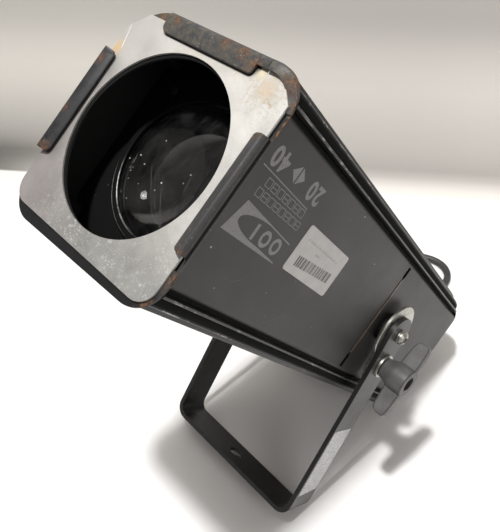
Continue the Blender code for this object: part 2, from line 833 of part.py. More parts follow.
def yoke(root, paint):
    """Flat steel bar bent to a U, with round ends, pivot holes and a clamp hole."""
    half = (YOKE_FRONT + YOKE_BACK) / 2
    centre = YOKE_OUT - YOKE_CORNER_R
    bend = YOKE_ARM - YOKE_CORNER_R
    inner_r = YOKE_CORNER_R - YOKE_SHEET
    arm = []
    for i in range(8):
        a = -half * math.cos(math.radians(8 + 82 * i / 7))
        arm.append(yoke_section(a, YOKE_OUT - YOKE_SHEET, YOKE_OUT))
    right = list(arm)
    for i in range(8):
        t = math.radians(90.0 * i / 7)
        inner = (centre + inner_r * math.cos(t), bend + inner_r * math.sin(t))
        outer = (centre + YOKE_CORNER_R * math.cos(t), bend + YOKE_CORNER_R * math.sin(t))
        pairs = ((-YOKE_BACK, inner), (YOKE_FRONT, inner), (YOKE_FRONT, outer), (-YOKE_BACK, outer))
        right.append([on_yoke(p[1], v, p[0]) for v, p in pairs])
    left = [[(-x, y, z) for x, y, z in section] for section in reversed(right)]
    bm = loft(bmesh.new(), right + left)
    origin = (0.0, PIVOT_Y, PIVOT_Z)
    made = moving(node("yoke", bm, paint, root, origin), origin)
    cuts = bmesh.new()
    prism(cuts, circle(0.0, 0.0, BOLT_HOLE_R, 20), 68.0, 79.0, on_yoke)
    prism(cuts, circle(0.0, 0.0, BOLT_HOLE_R, 20), -79.0, -68.0, on_yoke)
    prism(cuts, circle(KNOB_ALONG, 0.0, BOLT_HOLE_R, 20), 68.0, 79.0, on_yoke)

    def on_bar(u, v, h):
        return on_yoke(h, v, u)

    keyhole = arc(-4.0, 0.0, 6.5, 25, 335, 18) + [(3.6, -2.6), (3.6, 2.6)]
    prism(cuts, keyhole, YOKE_ARM - 8.0, YOKE_ARM + 4.0, on_bar)
    boolean(made, cuts, "DIFFERENCE")
    return smooth(made, 25.0)


def brake(yoke_piece, steel, black):
    """Shoe with its stud behind the disc, the washer, and the T-shaped knob outside the arm."""
    pivot = (0.0, PIVOT_Y, PIVOT_Z)
    inner = YOKE_OUT - YOKE_SHEET
    pinch = inner - GAP - DISC_SHEET - GAP
    plate = pinch - 2.6
    hub = on_yoke(KNOB_ALONG, 0.0, 0.0)
    outline = arc(KNOB_ALONG, 0.0, 9.0, -75, 75, 8)
    outline = arc(KNOB_ALONG - 3.0, 0.0, 9.0, 90, 270, 10) + [(KNOB_ALONG + 4.0, -9.0)]
    outline += arc(KNOB_ALONG + 13.0, 0.0, 4.5, -70, 70, 5) + [(KNOB_ALONG + 4.0, 9.0)]
    bm = prism(bmesh.new(), outline, plate, pinch, on_yoke)
    shoe = moving(node("brake_shoe", bm, steel, yoke_piece, pivot, pivot), pivot)
    heel = bmesh.new()
    outline = arc(KNOB_ALONG + 13.0, 0.0, 4.3, 90, -90, 8) + [(KNOB_ALONG + 8.0, -5.5), (KNOB_ALONG + 8.0, 5.5)]
    prism(heel, outline, plate + 1.0, inner - GAP, on_yoke)
    boolean(shoe, heel, "UNION")
    stud = bmesh.new()
    round_stud = [(KNOB_ALONG + x, y) for x, y in circle(0, 0, BOLT_R - 0.1, 20)]
    prism(stud, round_stud, plate + 1.0, KNOB_OUT - 12.0, on_yoke)
    boolean(shoe, stud, "UNION")
    out = YOKE_OUT + GAP
    base = out + 2.0 + GAP
    washer = [(BOLT_HOLE_R, out), (10.6, out), (10.6, base - GAP), (BOLT_HOLE_R, base - GAP)]
    bm = lathe(bmesh.new(), washer, 36, hub, "X")
    node("knob_washer", bm, steel, yoke_piece, hub, pivot)
    wing_knob(yoke_piece, hub, base, black)


def wing_knob(yoke_piece, hub, base, paint):
    """T-shaped knob: a hub that widens outwards, two flat wings and an open bore."""
    pivot = (0.0, PIVOT_Y, PIVOT_Z)
    outer = KNOB_OUT
    grip = [
        (0.0, base),
        (8.3, base),
        (8.7, base + 0.5),
        (9.1, base + 3.4),
        (10.2, base + 6.2),
        (11.6, base + 9.0),
        (12.3, base + 12.0),
        (12.3, outer - 0.8),
        (11.6, outer),
        (0.0, outer),
    ]
    bm = lathe(bmesh.new(), grip, 32, hub, "X")
    knob = moving(node("wing_knob", bm, paint, yoke_piece, hub, pivot), hub)
    wing = bmesh.new()
    deep = 15.6
    thick = 4.0
    half = [(0.0, 0.0), (0.80, 0.7), (0.90, 1.3), (0.955, 2.5), (0.985, 4.0), (1.0, 5.6)]
    stations = [(-s, cut) for s, cut in reversed(half[1:])] + half
    sections = []
    for s, cut in stations:
        bevel = 0.8
        x0 = outer - deep + cut + 1.6 * abs(s)
        x1 = outer - 0.6 * cut
        z = thick - (0.9 if abs(s) > 0.99 else 0.0)
        points = [(x0, bevel - z), (x0 + bevel, -z), (x1 - bevel, -z), (x1, bevel - z)]
        points += [(x1, z - bevel), (x1 - bevel, z), (x0 + bevel, z), (x0, z - bevel)]
        sections.append([(x, hub[1] + s * KNOB_REACH, hub[2] + v) for x, v in points])
    loft(wing, sections)
    boolean(knob, wing, "UNION")
    bore = bmesh.new()
    deepest = outer - 14.0
    profile = [(0.0, base - 2.0), (BOLT_HOLE_R, base - 2.0), (BOLT_HOLE_R, deepest)]
    profile += [(6.1, deepest), (6.1, outer + 2.0), (0.0, outer + 2.0)]
    lathe(bore, profile, 28, hub, "X")
    boolean(knob, bore, "DIFFERENCE")
    smooth(knob, 35.0)


# Cord

def gland(root, black, rubber):
    """Hexagonal gland in the rear cover and the tapered sleeve that guides the cord."""
    bm = bmesh.new()
    face = REAR_Z - GAP
    nut = REAR_Z + SHEET + GAP
    profile = [
        (0.0, nut + 5.0),
        (9.0, nut + 5.0),
        (9.5, nut + 4.5),
        (9.5, nut),
        (6.0, nut),
        (6.0, face),
        (10.5, face),
        (10.5, face - 5.0),
        (9.0, face - 6.0),
        (8.6, face - 9.5),
        (7.6, face - 11.0),
        (0.0, face - 11.0),
    ]
    lathe(bm, profile, 24, (GLAND_X, GLAND_Y, 0.0), "Z")
    smooth(node("cable_gland", bm, black, root), 30.0)
    top = face - 11.0 - GAP
    sleeve = [
        (0.0, top),
        (6.6, top),
        (6.9, top - 1.0),
        (6.9, top - 4.0),
        (6.2, top - 5.0),
        (4.9, SLEEVE_END_Z + 1.0),
        (4.6, SLEEVE_END_Z),
        (0.0, SLEEVE_END_Z),
    ]
    bm = lathe(bmesh.new(), sleeve, 24, (GLAND_X, GLAND_Y, 0.0), "Z")
    smooth(node("strain_relief", bm, rubber, root), 30.0)


def curve_through(points, step):
    """Even points, step apart, on a smooth curve through the given ones."""
    fine = []
    padded = [points[0] * 2 - points[1], *points, points[-1] * 2 - points[-2]]
    for p0, p1, p2, p3 in zip(padded, padded[1:], padded[2:], padded[3:]):
        t0 = 0.0
        t1 = t0 + max((p1 - p0).length, 1e-6) ** 0.5
        t2 = t1 + max((p2 - p1).length, 1e-6) ** 0.5
        t3 = t2 + max((p3 - p2).length, 1e-6) ** 0.5
        for i in range(24):
            t = t1 + (t2 - t1) * i / 24
            a1 = p0 * ((t1 - t) / (t1 - t0)) + p1 * ((t - t0) / (t1 - t0))
            a2 = p1 * ((t2 - t) / (t2 - t1)) + p2 * ((t - t1) / (t2 - t1))
            a3 = p2 * ((t3 - t) / (t3 - t2)) + p3 * ((t - t2) / (t3 - t2))
            b1 = a1 * ((t2 - t) / (t2 - t0)) + a2 * ((t - t0) / (t2 - t0))
            b2 = a2 * ((t3 - t) / (t3 - t1)) + a3 * ((t - t1) / (t3 - t1))
            fine.append(b1 * ((t2 - t) / (t2 - t1)) + b2 * ((t - t1) / (t2 - t1)))
    fine.append(points[-1])
    lengths = [0.0]
    for a, b in zip(fine, fine[1:]):
        lengths.append(lengths[-1] + (b - a).length)
    count = max(2, round(lengths[-1] / step))
    even = []
    j = 0
    for i in range(count + 1):
        want = lengths[-1] * i / count
        while j < len(lengths) - 2 and lengths[j + 1] < want:
            j += 1
        part = (want - lengths[j]) / max(lengths[j + 1] - lengths[j], 1e-9)
        even.append(fine[j].lerp(fine[j + 1], min(part, 1.0)))
    return even


def tube(name, points, paint, parent, resolution):
    """A round cord through the points, its ends capped flat."""
    data = bpy.data.curves.new(name, "CURVE")
    data.dimensions = "3D"
    data.bevel_depth = CORD_R * MM
    data.bevel_resolution = resolution
    data.use_fill_caps = True
    spline = data.splines.new("POLY")
    spline.points.add(len(points) - 1)
    for point, p in zip(spline.points, points):
        point.co = (p[0] * MM, p[1] * MM, p[2] * MM, 1.0)
    data.materials.append(paint)
    made = bpy.data.objects.new(name, data)
    bpy.context.scene.collection.objects.link(made)
    made.parent = parent
    return made


def coil_points():
    """Centre line of the coil: in along one layer, up where it turns back, out on the next."""
    low = CORD_R + COIL_LIFT
    layer = COIL_PITCH
    turn_back = 1.75
    inner = COIL_START_R - COIL_PITCH * turn_back
    points = []
    count = int(COIL_TURNS * 24)
    for i in range(count + 1):
        turns = COIL_TURNS * i / count
        away = abs(turns - turn_back)
        r = inner + COIL_PITCH * math.hypot(away, 0.06)
        climb = min(max((turns - turn_back + 0.25) / 0.5, 0.0), 1.0)
        z = low + layer * climb * climb * (3 - 2 * climb)
        a = math.pi + 2 * math.pi * turns
        points.append(Vector((COIL_X + r * math.cos(a), COIL_Y + r * math.sin(a), z)))
    return points


def cord(ground, exit_point, exit_way, rubber, plug_paint, steel, strap):
    """The cord: off the housing to the floor, round into a tied coil, and on to a plug."""
    d = 2 * CORD_R
    low = CORD_R + GAP
    start = exit_point + exit_way * GAP
    coil = coil_points()
    way_in = (coil[1] - coil[0]).normalized()
    way_out = (coil[-1] - coil[-2]).normalized()
    lead_end = coil[0] - way_in * (d + GAP)
    coil = [coil[0] - way_in * d] + coil + [coil[-1] + way_out * d]
    route = [
        start,
        start + exit_way * d,
        Vector((18.2, 310.4, 9.9)),
        Vector((19.0, 319.0, 5.7)),
        Vector((19.2, 328.5, low)),
        Vector((16.5, 340.5, low)),
        Vector((9.2, 351.5, low)),
        Vector((3.0, 363.0, low)),
        Vector((-0.5, 375.0, low)),
        Vector((-3.7, 385.3, low)),
        Vector((-10.4, 393.8, low)),
        Vector((-20.3, 399.3, low)),
        Vector((-31.8, 399.9, low)),
        Vector((-43.8, 396.2, low)),
        Vector((-58.8, 389.2, low)),
        Vector((-75.8, 378.0, low)),
        Vector((-91.0, 362.5, low + 0.2)),
        Vector((-100.3, 346.8, low + 0.8)),
        lead_end - way_in * d,
        lead_end,
    ]
    lead = [start] + curve_through(route[1:-1], 14.0) + [lead_end]
    tube("power_cord", lead, rubber, ground, 2)
    tube("cord_coil", coil, rubber, ground, 1)
    tail_start = coil[-1] + way_out * GAP
    plug_x, plug_y, plug_z = -112.0, 262.0, PLUG_R + GAP
    tail_end = Vector((plug_x, plug_y + GAP, plug_z))
    back = Vector((0.0, -1.0, 0.0))
    route = [tail_start, tail_start + way_out * d, tail_end - back * d, tail_end]
    tail = [tail_start] + curve_through(route[1:-1], 12.0) + [tail_end]
    tube("cord_tail", tail, rubber, ground, 2)
    total = sum((b - a).length for run in (lead, coil, tail) for a, b in zip(run, run[1:]))
    print(f"cord centre line {total:.0f} mm, coil least gap {least_gap(coil):.2f} mm")
    plug(ground, (plug_x, plug_y, plug_z), plug_paint, steel)
    tie(ground, strap)


def least_gap(points):
    """Smallest space between two runs of the coil that aren't neighbours along it."""
    found = 1e9
    for i, a in enumerate(points):
        for j in range(i + 10, len(points) - 1):
            b, c = points[j], points[j + 1]
            t = max(0.0, min(1.0, (a - b).dot(c - b) / (c - b).length_squared))
            found = min(found, (a - b.lerp(c, t)).length)
    return found - 2 * CORD_R


def plug(ground, end, paint, steel):
    """Round-pin plug on the cord's end, lying on its side."""
    x, y, z = end
    profile = [
        (0.0, y),
        (5.4, y),
        (6.0, y - 2.0),
        (8.4, y - 24.0),
        (13.0, y - 27.0),
        (16.5, y - 31.0),
        (17.5, y - 44.0),
        (18.2, y - 54.0),
        (PLUG_R - 0.6, y - 57.0),
        (PLUG_R, y - 58.0),
        (PLUG_R, y - 66.0),
        (PLUG_R - 1.0, y - 67.0),
        (0.0, y - 67.0),
    ]
    bm = lathe(bmesh.new(), profile, 28, (x, 0.0, z), "Y")
    made = smooth(node("plug", bm, paint, ground), 30.0)
    pins = bmesh.new()
    face = y - 67.0
    for px, pz, r, long in ((0.0, 9.0, 3.5, 25.0), (-8.5, -5.5, 2.8, 18.6), (8.5, -5.5, 2.8, 18.6)):
        prism(pins, circle(x + px, z + pz, r, 16), face - long, face + 3.0, upward)
    return boolean(made, pins, "UNION")


def tie(ground, paint):
    """Flat strap round the coil where its turns lie two over two."""
    low = COIL_LIFT - TIE_SHEET - 0.35
    r0, r1 = 31.5, 51.0
    z1 = COIL_LIFT + 2 * CORD_R + COIL_PITCH + 0.4
    inner = round_box(COIL_Y - r1, COIL_Y - r0, low + TIE_SHEET, z1, 2.5, 4)
    grow = TIE_SHEET
    outer = round_box(COIL_Y - r1 - grow, COIL_Y - r0 + grow, low, z1 + grow, 3.5, 4)
    bm = prism(bmesh.new(), outer, COIL_X - 6.0, COIL_X + 6.0, across, [inner])
    return smooth(node("cord_tie", bm, paint, ground), 30.0)


# Assembly

def stance():
    """Pitch and height at which the housing's rear edge and the yoke's corner meet the floor."""
    corner = on_yoke(YOKE_ARM, -YOKE_BACK, 0.0)[1:]
    edges = [(HOUSING_Y - HALF, REAR_Z)]
    for back, drop in POST_END:
        edges.append((HOUSING_Y - max(x for x, y in post_section(drop)), END_Z + back))
    pitch = max(math.atan2(corner[1] - z, y - corner[0]) for y, z in edges)
    height = -(math.sin(pitch) * corner[0] + math.cos(pitch) * corner[1])
    return pitch, height


def settle(frames, left_out):
    """Moves the whole object so that its footprint's centre on the floor is the origin."""
    bpy.context.view_layer.update()
    graph = bpy.context.evaluated_depsgraph_get()
    low = [1e9] * 3
    high = [-1e9] * 3
    for made in bpy.data.objects:
        if made.type != "MESH" or made.hide_render or made.name in left_out:
            continue
        shape = made.evaluated_get(graph)
        data = shape.to_mesh()
        for v in data.vertices:
            p = shape.matrix_world @ v.co
            for i in range(3):
                low[i] = min(low[i], p[i])
                high[i] = max(high[i], p[i])
        shape.to_mesh_clear()
    shift = Vector((-(low[0] + high[0]) / 2, -(low[1] + high[1]) / 2, -low[2]))
    for frame in frames:
        frame.location += shift
    print("size", [round((b - a) / MM, 2) for a, b in zip(low, high)])
    print("shift", [round(c / MM, 3) for c in shift])


def build():
    """Builds the spotlight."""
    for old in list(bpy.data.objects):
        bpy.data.objects.remove(old)
    post_paint = material("post_black", (0.018, 0.018, 0.019), 0.48, 0.0)
    panel_paint = material("panel_black", (0.022, 0.022, 0.024), 0.52, 0.0)
    inner_black = material("inner_black", (0.012, 0.012, 0.012), 0.6, 0.0)
    yoke_paint = material("yoke_black", (0.016, 0.016, 0.017), 0.5, 0.0)
    rusty = material("rusty_steel", (0.09, 0.045, 0.03), 0.7, 0.3)
    plate = material("bare_aluminium", WHITE_METAL, 0.45, 0.9)
    steel = material("zinc_steel", (0.55, 0.55, 0.56), 0.32, 1.0)
    blade_steel = material("blade_steel", (0.42, 0.38, 0.33), 0.4, 1.0)
    glass = material("lens_glass", (0.55, 0.6, 0.6), 0.05, 0.0)
    mirror = material("reflector_mirror", (0.85, 0.85, 0.86), 0.12, 1.0)
    ceramic = material("ceramic", (0.75, 0.72, 0.66), 0.6, 0.0)
    plastic = material("knob_plastic", (0.014, 0.014, 0.015), 0.38, 0.0)
    rubber = material("cord_rubber", (0.02, 0.02, 0.021), 0.55, 0.0)
    strap = material("strap_fabric", (0.02, 0.02, 0.022), 0.85, 0.0)

    pitch, height = stance()
    print(f"pitch {math.degrees(pitch):.4f} height {height:.4f}")
    root = empty("body_frame", None, (0.0, 0.0, height), pitch)
    housing = empty("housing_frame", root, (0.0, HOUSING_Y, 0.0))
    ground = empty("ground_frame")
    corner_posts(housing, post_paint)
    panels(housing, panel_paint)
    rear_cover(housing, panel_paint)
    runner(root, rusty)
    colour_frame(root, plate)
    lens_paints = (inner_black, glass, steel, plastic)
    carrier("front", FRONT_CARRIER_Z, housing, lens_paints)
    carrier("rear", REAR_CARRIER_Z, housing, lens_paints)
    gate(housing, inner_black)
    for k, name in enumerate(("right", "underside", "left", "top")):
        shutter_blade(f"shutter_blade_{name}", k, housing, blade_steel)
    lamp_house(housing, inner_black, glass, mirror)
    lamp_tray(housing, (panel_paint, ceramic, glass, steel))
    pivot_parts(root, steel, plastic)
    arm = yoke(root, yoke_paint)
    brake(arm, steel, plastic)
    gland(housing, plastic, rubber)

    turned = Matrix.Rotation(pitch, 3, "X")
    sleeve_end = Vector((GLAND_X, GLAND_Y + HOUSING_Y, SLEEVE_END_Z))
    exit_point = turned @ sleeve_end + Vector((0, 0, height))
    exit_way = turned @ Vector((0, 0, -1))
    cord(ground, exit_point, exit_way, rubber, plastic, steel, strap)
    cords = {"power_cord", "cord_coil", "cord_tail", "plug", "cord_tie", "strain_relief"}
    settle((root, ground), cords)


build()
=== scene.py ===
"""Looks of the profile spotlight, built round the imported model.

Shapes are drawn in the housing's own frame, in millimetres: X to the right side,
Y to the underside of the hanging lantern, Z forward along the beam from the
colour frame's face. GROUND shapes use millimetres on the floor, Z up.
"""

import json
import random
from math import cos, hypot, pi, radians, sin, sqrt

import bmesh
import bpy
from mathutils import Matrix, Vector
from mathutils.geometry import tessellate_polygon

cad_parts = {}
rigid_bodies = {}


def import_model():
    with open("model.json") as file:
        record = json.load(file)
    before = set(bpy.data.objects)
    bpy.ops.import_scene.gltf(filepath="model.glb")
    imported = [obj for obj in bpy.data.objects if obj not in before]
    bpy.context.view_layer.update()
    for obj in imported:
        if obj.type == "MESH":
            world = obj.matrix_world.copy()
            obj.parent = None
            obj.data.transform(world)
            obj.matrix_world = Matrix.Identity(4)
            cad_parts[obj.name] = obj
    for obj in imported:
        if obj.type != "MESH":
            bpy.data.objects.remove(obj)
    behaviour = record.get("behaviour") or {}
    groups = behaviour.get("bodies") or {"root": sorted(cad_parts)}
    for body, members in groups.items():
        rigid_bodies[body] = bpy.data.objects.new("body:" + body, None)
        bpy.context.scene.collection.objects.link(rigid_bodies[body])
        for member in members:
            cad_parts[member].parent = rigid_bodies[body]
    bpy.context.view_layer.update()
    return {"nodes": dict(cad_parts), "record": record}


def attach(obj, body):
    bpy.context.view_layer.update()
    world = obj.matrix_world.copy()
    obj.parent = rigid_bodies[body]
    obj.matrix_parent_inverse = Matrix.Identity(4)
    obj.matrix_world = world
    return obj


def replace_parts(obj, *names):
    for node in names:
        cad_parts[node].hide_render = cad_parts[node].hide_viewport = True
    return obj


for old in list(bpy.data.objects):
    bpy.data.objects.remove(old)
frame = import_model()
NODES = frame["nodes"]

PITCH = radians(35.6047)
HEIGHT = 377.5188
SHIFT = Vector((-10.05, -123.991, 0))
MM = 0.001
TURN = Matrix.Rotation(PITCH, 4, "X")
BODY = Matrix.Scale(MM, 4) @ Matrix.Translation(SHIFT + Vector((0, 0, HEIGHT))) @ TURN
GROUND = Matrix.Scale(MM, 4) @ Matrix.Translation(SHIFT)

HOUSING_Y = 1.3
HALF = 62.5
REAR_Z = -420.5
PIVOT_Y = 0.5
PIVOT_Z = -274
YOKE_LEAN = radians(15.54)
YOKE_OUT = 75.5
RING_SHEET = 1.5
LIP_BEND = 2.6
GATE_Z = PIVOT_Z + 33.5
PLUG_Y = 262
PLUG_LONG = 67.15

# Camera, from a fit to the photograph's edges
FOCAL_PX = 638.36
PHOTO_HIGH_PX = 532
SENSOR_MM = 24
RIGHT = Vector((0.67737445, 0.57828203, -0.45470182))
DOWN = Vector((0.49754493, -0.81542779, -0.29584888))
AHEAD = Vector((-0.54186059, -0.02583411, -0.84007125))
EYE = Vector((244.93, -9.63, 230.83))

SCENE = bpy.context.scene


def added(name, data):
    """A new object in the scene."""
    made = bpy.data.objects.new(name, data)
    SCENE.collection.objects.link(made)
    return made


data = bpy.data.cameras.new("camera")
data.sensor_fit = "VERTICAL"
data.sensor_height = SENSOR_MM
data.lens = FOCAL_PX * SENSOR_MM / PHOTO_HIGH_PX
data.clip_start = 0.01
data.clip_end = 50
made = added("camera", data)
place = (TURN.to_3x3() @ Matrix((RIGHT, -DOWN, -AHEAD)).transposed()).to_4x4()
place.translation = BODY @ EYE
made.matrix_world = place
SCENE.camera = made


# Materials

class Paint:
    """A material built node by node. Coordinates are the housing frame's, in millimetres."""

    def __init__(self, name, colour, rough, metal=0, **more):
        self.mat = bpy.data.materials.new(name)
        self.mat.use_nodes = True
        self.tree = self.mat.node_tree
        self.bsdf = self.tree.nodes["Principled BSDF"]
        self.colour = colour
        self.set("Base Color", (*colour, 1))
        self.set("Roughness", rough)
        self.set("Metallic", metal)
        for key, value in more.items():
            self.set(key.replace("_", " "), value)
        self._at = None

    def set(self, socket, value):
        self.bsdf.inputs[socket].default_value = value

    def new(self, kind, values=(), **props):
        """A node, its sockets set to constants or linked to outputs."""
        node = self.tree.nodes.new("ShaderNode" + kind)
        for key, value in props.items():
            setattr(node, key, value)
        for socket, value in dict(values).items():
            if isinstance(value, bpy.types.NodeSocket):
                self.tree.links.new(value, node.inputs[socket])
            elif value is not None:
                node.inputs[socket].default_value = value
        return node

    def to(self, socket, value):
        self.tree.links.new(value, self.bsdf.inputs[socket])

    def placed(self, vector, scale, turn, move):
        values = {"Vector": vector, "Scale": scale, "Rotation": turn, "Location": move}
        return self.new("Mapping", values, vector_type="POINT").outputs["Vector"]

    def at(self, scale=None, turn=(0, 0, 0), move=(0, 0, 0)):
        """Housing-frame coordinates in millimetres, scaled, turned and moved."""
        if self._at is None:
            world = self.new("TexCoord").outputs["Object"]
            home = BODY.inverted().translation
            self._at = self.placed(world, (1000, 1000, 1000), (-PITCH, 0, 0), home)
        return self.placed(self._at, scale, turn, move) if scale else self._at

    def noise(self, size, detail=4, rough=0.6, stretch=(1, 1, 1), move=(0, 0, 0)):
        """Noise whose features are about size millimetres."""
        where = self.at(tuple(1 / (size * s) for s in stretch), (0, 0, 0), move)
        values = {"Scale": 1, "Detail": detail, "Roughness": rough, "Vector": where}
        return self.new("TexNoise", values).outputs["Fac"]

    def patches(self, none, full, *noise):
        """0 to 1 as noise goes from none to full."""
        return self.ramp(self.noise(*noise), none, full)

    def dots(self, size, radius, seed=0):
        """1 inside small round spots about size millimetres apart."""
        spots = self.at((1 / size,) * 3, (0.3, 0.2, 0.1), (seed,) * 3)
        cells = self.new("TexVoronoi", {"Scale": 1, "Vector": spots})
        return self.ramp(cells.outputs["Distance"], radius * 1.7, radius)

    def ramp(self, value, none, full):
        """0 to 1 as value goes from none to full."""
        values = {"From Min": none, "From Max": full, "Value": value}
        return self.new("MapRange", values).outputs["Result"]

    def math(self, op, a, b=None):
        return self.new("Math", {0: a, 1: b}, operation=op).outputs[0]

    def add(self, a, b):
        return self.math("ADD", a, b)

    def all(self, *masks):
        """The masks and numbers multiplied."""
        found = masks[0]
        for mask in masks[1:]:
            found = self.math("MULTIPLY", found, mask)
        return found

    def any(self, *masks):
        """The highest of the masks."""
        found = masks[0]
        for mask in masks[1:]:
            found = self.math("MAXIMUM", found, mask)
        return found

    def vector(self, op, a, b=None):
        return self.new("VectorMath", {0: a, 1: b}, operation=op)

    def axes(self, vector):
        return self.new("SeparateXYZ", {0: vector}).outputs

    def part(self, axis, size=False):
        """One coordinate of the housing frame, or its size, in millimetres."""
        found = self.axes(self.at())["XYZ".index(axis)]
        return self.math("ABSOLUTE", found) if size else found

    def past(self, axis, none, full, size=False):
        """0 to 1 as a coordinate, or its size, goes from none to full."""
        return self.ramp(self.part(axis, size), none, full)

    def near(self, centre, radius, soft=0.5, wobble=0):
        """1 round a point of the housing frame, 0 beyond the radius in millimetres."""
        away = self.vector("DISTANCE", self.at(), centre).outputs["Value"]
        if wobble:
            away = self.add(away, self.all(self.noise(radius * 0.5), wobble))
        return self.ramp(away, radius, radius * (1 - soft))

    def inside(self, reach=61.9):
        """1 within the housing's walls, 0 on their outer faces."""
        y = self.math("ABSOLUTE", self.add(self.part("Y"), -HOUSING_Y))
        far = self.math("MAXIMUM", self.part("X", True), y)
        return self.ramp(far, reach, reach - 0.1)

    def stroke(self, a, b, width, axis="Z"):
        """1 along a straight scratch from a to b, drawn on the plane square to the axis."""
        first = {"Z": 0, "X": 1}[axis]
        run = [q - p for p, q in zip(a, b)]
        length = hypot(*run)
        split = self.axes(self.at())
        u, v = (self.add(split[first + i], -(a[i] + b[i]) / 2) for i in (0, 1))
        c, s = run[0] / length, run[1] / length
        along = self.add(self.all(u, c), self.all(v, s))
        off = self.add(self.all(u, -s), self.all(v, c))
        in_length = self.ramp(self.math("ABSOLUTE", along), length / 2, length / 2 - 2)
        in_width = self.ramp(self.math("ABSOLUTE", off), width / 2, width / 4)
        return self.all(in_length, in_width)

    def edge(self, radius, none=0.01, full=0.12):
        """1 on the rims of a piece, within about radius millimetres."""
        bevel = self.new("Bevel", {"Radius": radius * MM}, samples=6)
        plain = self.new("NewGeometry")
        dot = self.vector("DOT_PRODUCT", bevel.outputs["Normal"], plain.outputs["Normal"])
        return self.ramp(dot.outputs["Value"], 1 - none, 1 - full)

    def mix(self, fac, a, b, kind="MIX"):
        """Colour a where fac is 0, b where it is 1."""
        a, b = ((*v, 1) if isinstance(v, tuple) else v for v in (a, b))
        values = {0: fac, 6: a, 7: b}
        return self.new("Mix", values, data_type="RGBA", blend_type=kind).outputs[2]

    def blend(self, fac, a, b):
        """Number a where fac is 0, b where it is 1."""
        return self.new("Mix", {0: fac, 2: a, 3: b}, data_type="FLOAT").outputs[0]

    def lay(self, tone, *masks):
        """Lays a tone over the colour so far, as strongly as the masks say."""
        self.colour = self.mix(self.all(*masks), self.colour, tone)

    def bump(self, height, strength=0.3, distance=0.0001):
        values = {"Strength": strength, "Distance": distance, "Height": height}
        self.to("Normal", self.new("Bump", values).outputs["Normal"])

    def done(self, rough=None, *bump):
        """Links the colour, and the roughness and bump where given."""
        self.to("Base Color", self.colour)
        if rough is not None:
            self.to("Roughness", rough)
        if bump:
            self.bump(*bump)
        return self.mat


def grey(value, warm=0):
    """A near-neutral colour, a little warmer where warm is above 0."""
    return (value * (1 + warm), value, value * (1 - warm))


def satin_black(name, base, rough, dust=0.25, worn=0.5, grain=1.1, warm=0):
    """Black powder coat: fine grain, cloudy wear, rubbed edges and a little dust."""
    p = Paint(name, grey(base, warm), rough)
    cloud = p.noise(38, 5, 0.62)
    fine = p.noise(grain, 3, 0.5)
    p.lay(grey(base * 1.4, warm), p.ramp(cloud, 0.35, 0.7))
    speck = p.all(p.dots(8, 0.05, 3), p.patches(0.5, 0.6, 17, 2))
    p.lay(grey(0.5, 0.04), speck, dust)
    rubbed = p.all(p.edge(0.5), p.patches(0.42, 0.62, 9, 5, 0.7))
    p.lay(grey(0.2, 0.03), rubbed, worn)
    p.done(p.blend(p.ramp(cloud, 0.3, 0.7), rough - 0.06, rough + 0.07), fine, 0.18, 0.00006)
    return p


def panel_paint():
    """Charcoal powder coat outside, dead black inside, scuffed and chipped in a few places."""
    p = satin_black("panel_black", 0.019, 0.46, 0.3, 0.5, 1.1, 0.015)
    p.set("Specular IOR Level", 0.4)
    smear = p.patches(0.5, 0.78, 26, 6, 0.7, (1, 1, 2.5), (7, 3, 1))
    p.lay(grey(0.05, 0.02), smear, 0.35)
    face = p.past("X", HALF - 0.4, HALF - 0.2)
    marks = p.any(
        p.near((HALF, -20.9, -14.3), 1.1, 0.5, 0.8),
        p.near((HALF, 46.5, -127.4), 0.6, 0.5),
        p.near((HALF, 30, -181), 0.5, 0.5),
    )
    p.lay(grey(0.6, 0.03), face, marks)
    faint = p.any(
        p.stroke((-31.5, -43.7), (-26, -55), 0.4, "X"),
        p.stroke((7.5, -179.4), (13, -190), 0.35, "X"),
        p.stroke((-44, -98), (-30, -120), 0.35, "X"),
        p.stroke((36, -196), (28, -214), 0.35, "X"),
    )
    p.lay(grey(0.16), face, faint, 0.3)
    shade = p.any(*(p.all(p.near((HALF, y, GATE_Z), 16, 0.95), face) for y in (-42, 44)))
    p.lay(grey(0.008), shade, 0.4)
    black = p.inside()
    p.lay(grey(0.0025), black)
    return p.done(p.blend(black, p.blend(p.noise(30, 4), 0.36, 0.52), 0.85))


def yoke_paint():
    """The yoke's powder coat: greyer on the outer faces as painted light, black elsewhere."""
    p = satin_black("yoke_black", 0.008, 0.42, 0.3, 0.6, 1, 0.02)
    outer = p.past("X", YOKE_OUT - 0.4, YOKE_OUT - 0.15, True)
    cloud = p.noise(13, 6, 0.65)
    # Painted light: a greyer tone for the outer faces, where the same paint catches more light.
    lit_outer_tone = p.mix(p.ramp(cloud, 0.3, 0.7), (0.045, 0.045, 0.04), (0.075, 0.075, 0.067))
    p.lay(lit_outer_tone, outer)
    return p.done(p.blend(outer, p.blend(cloud, 0.34, 0.5), 0.4))


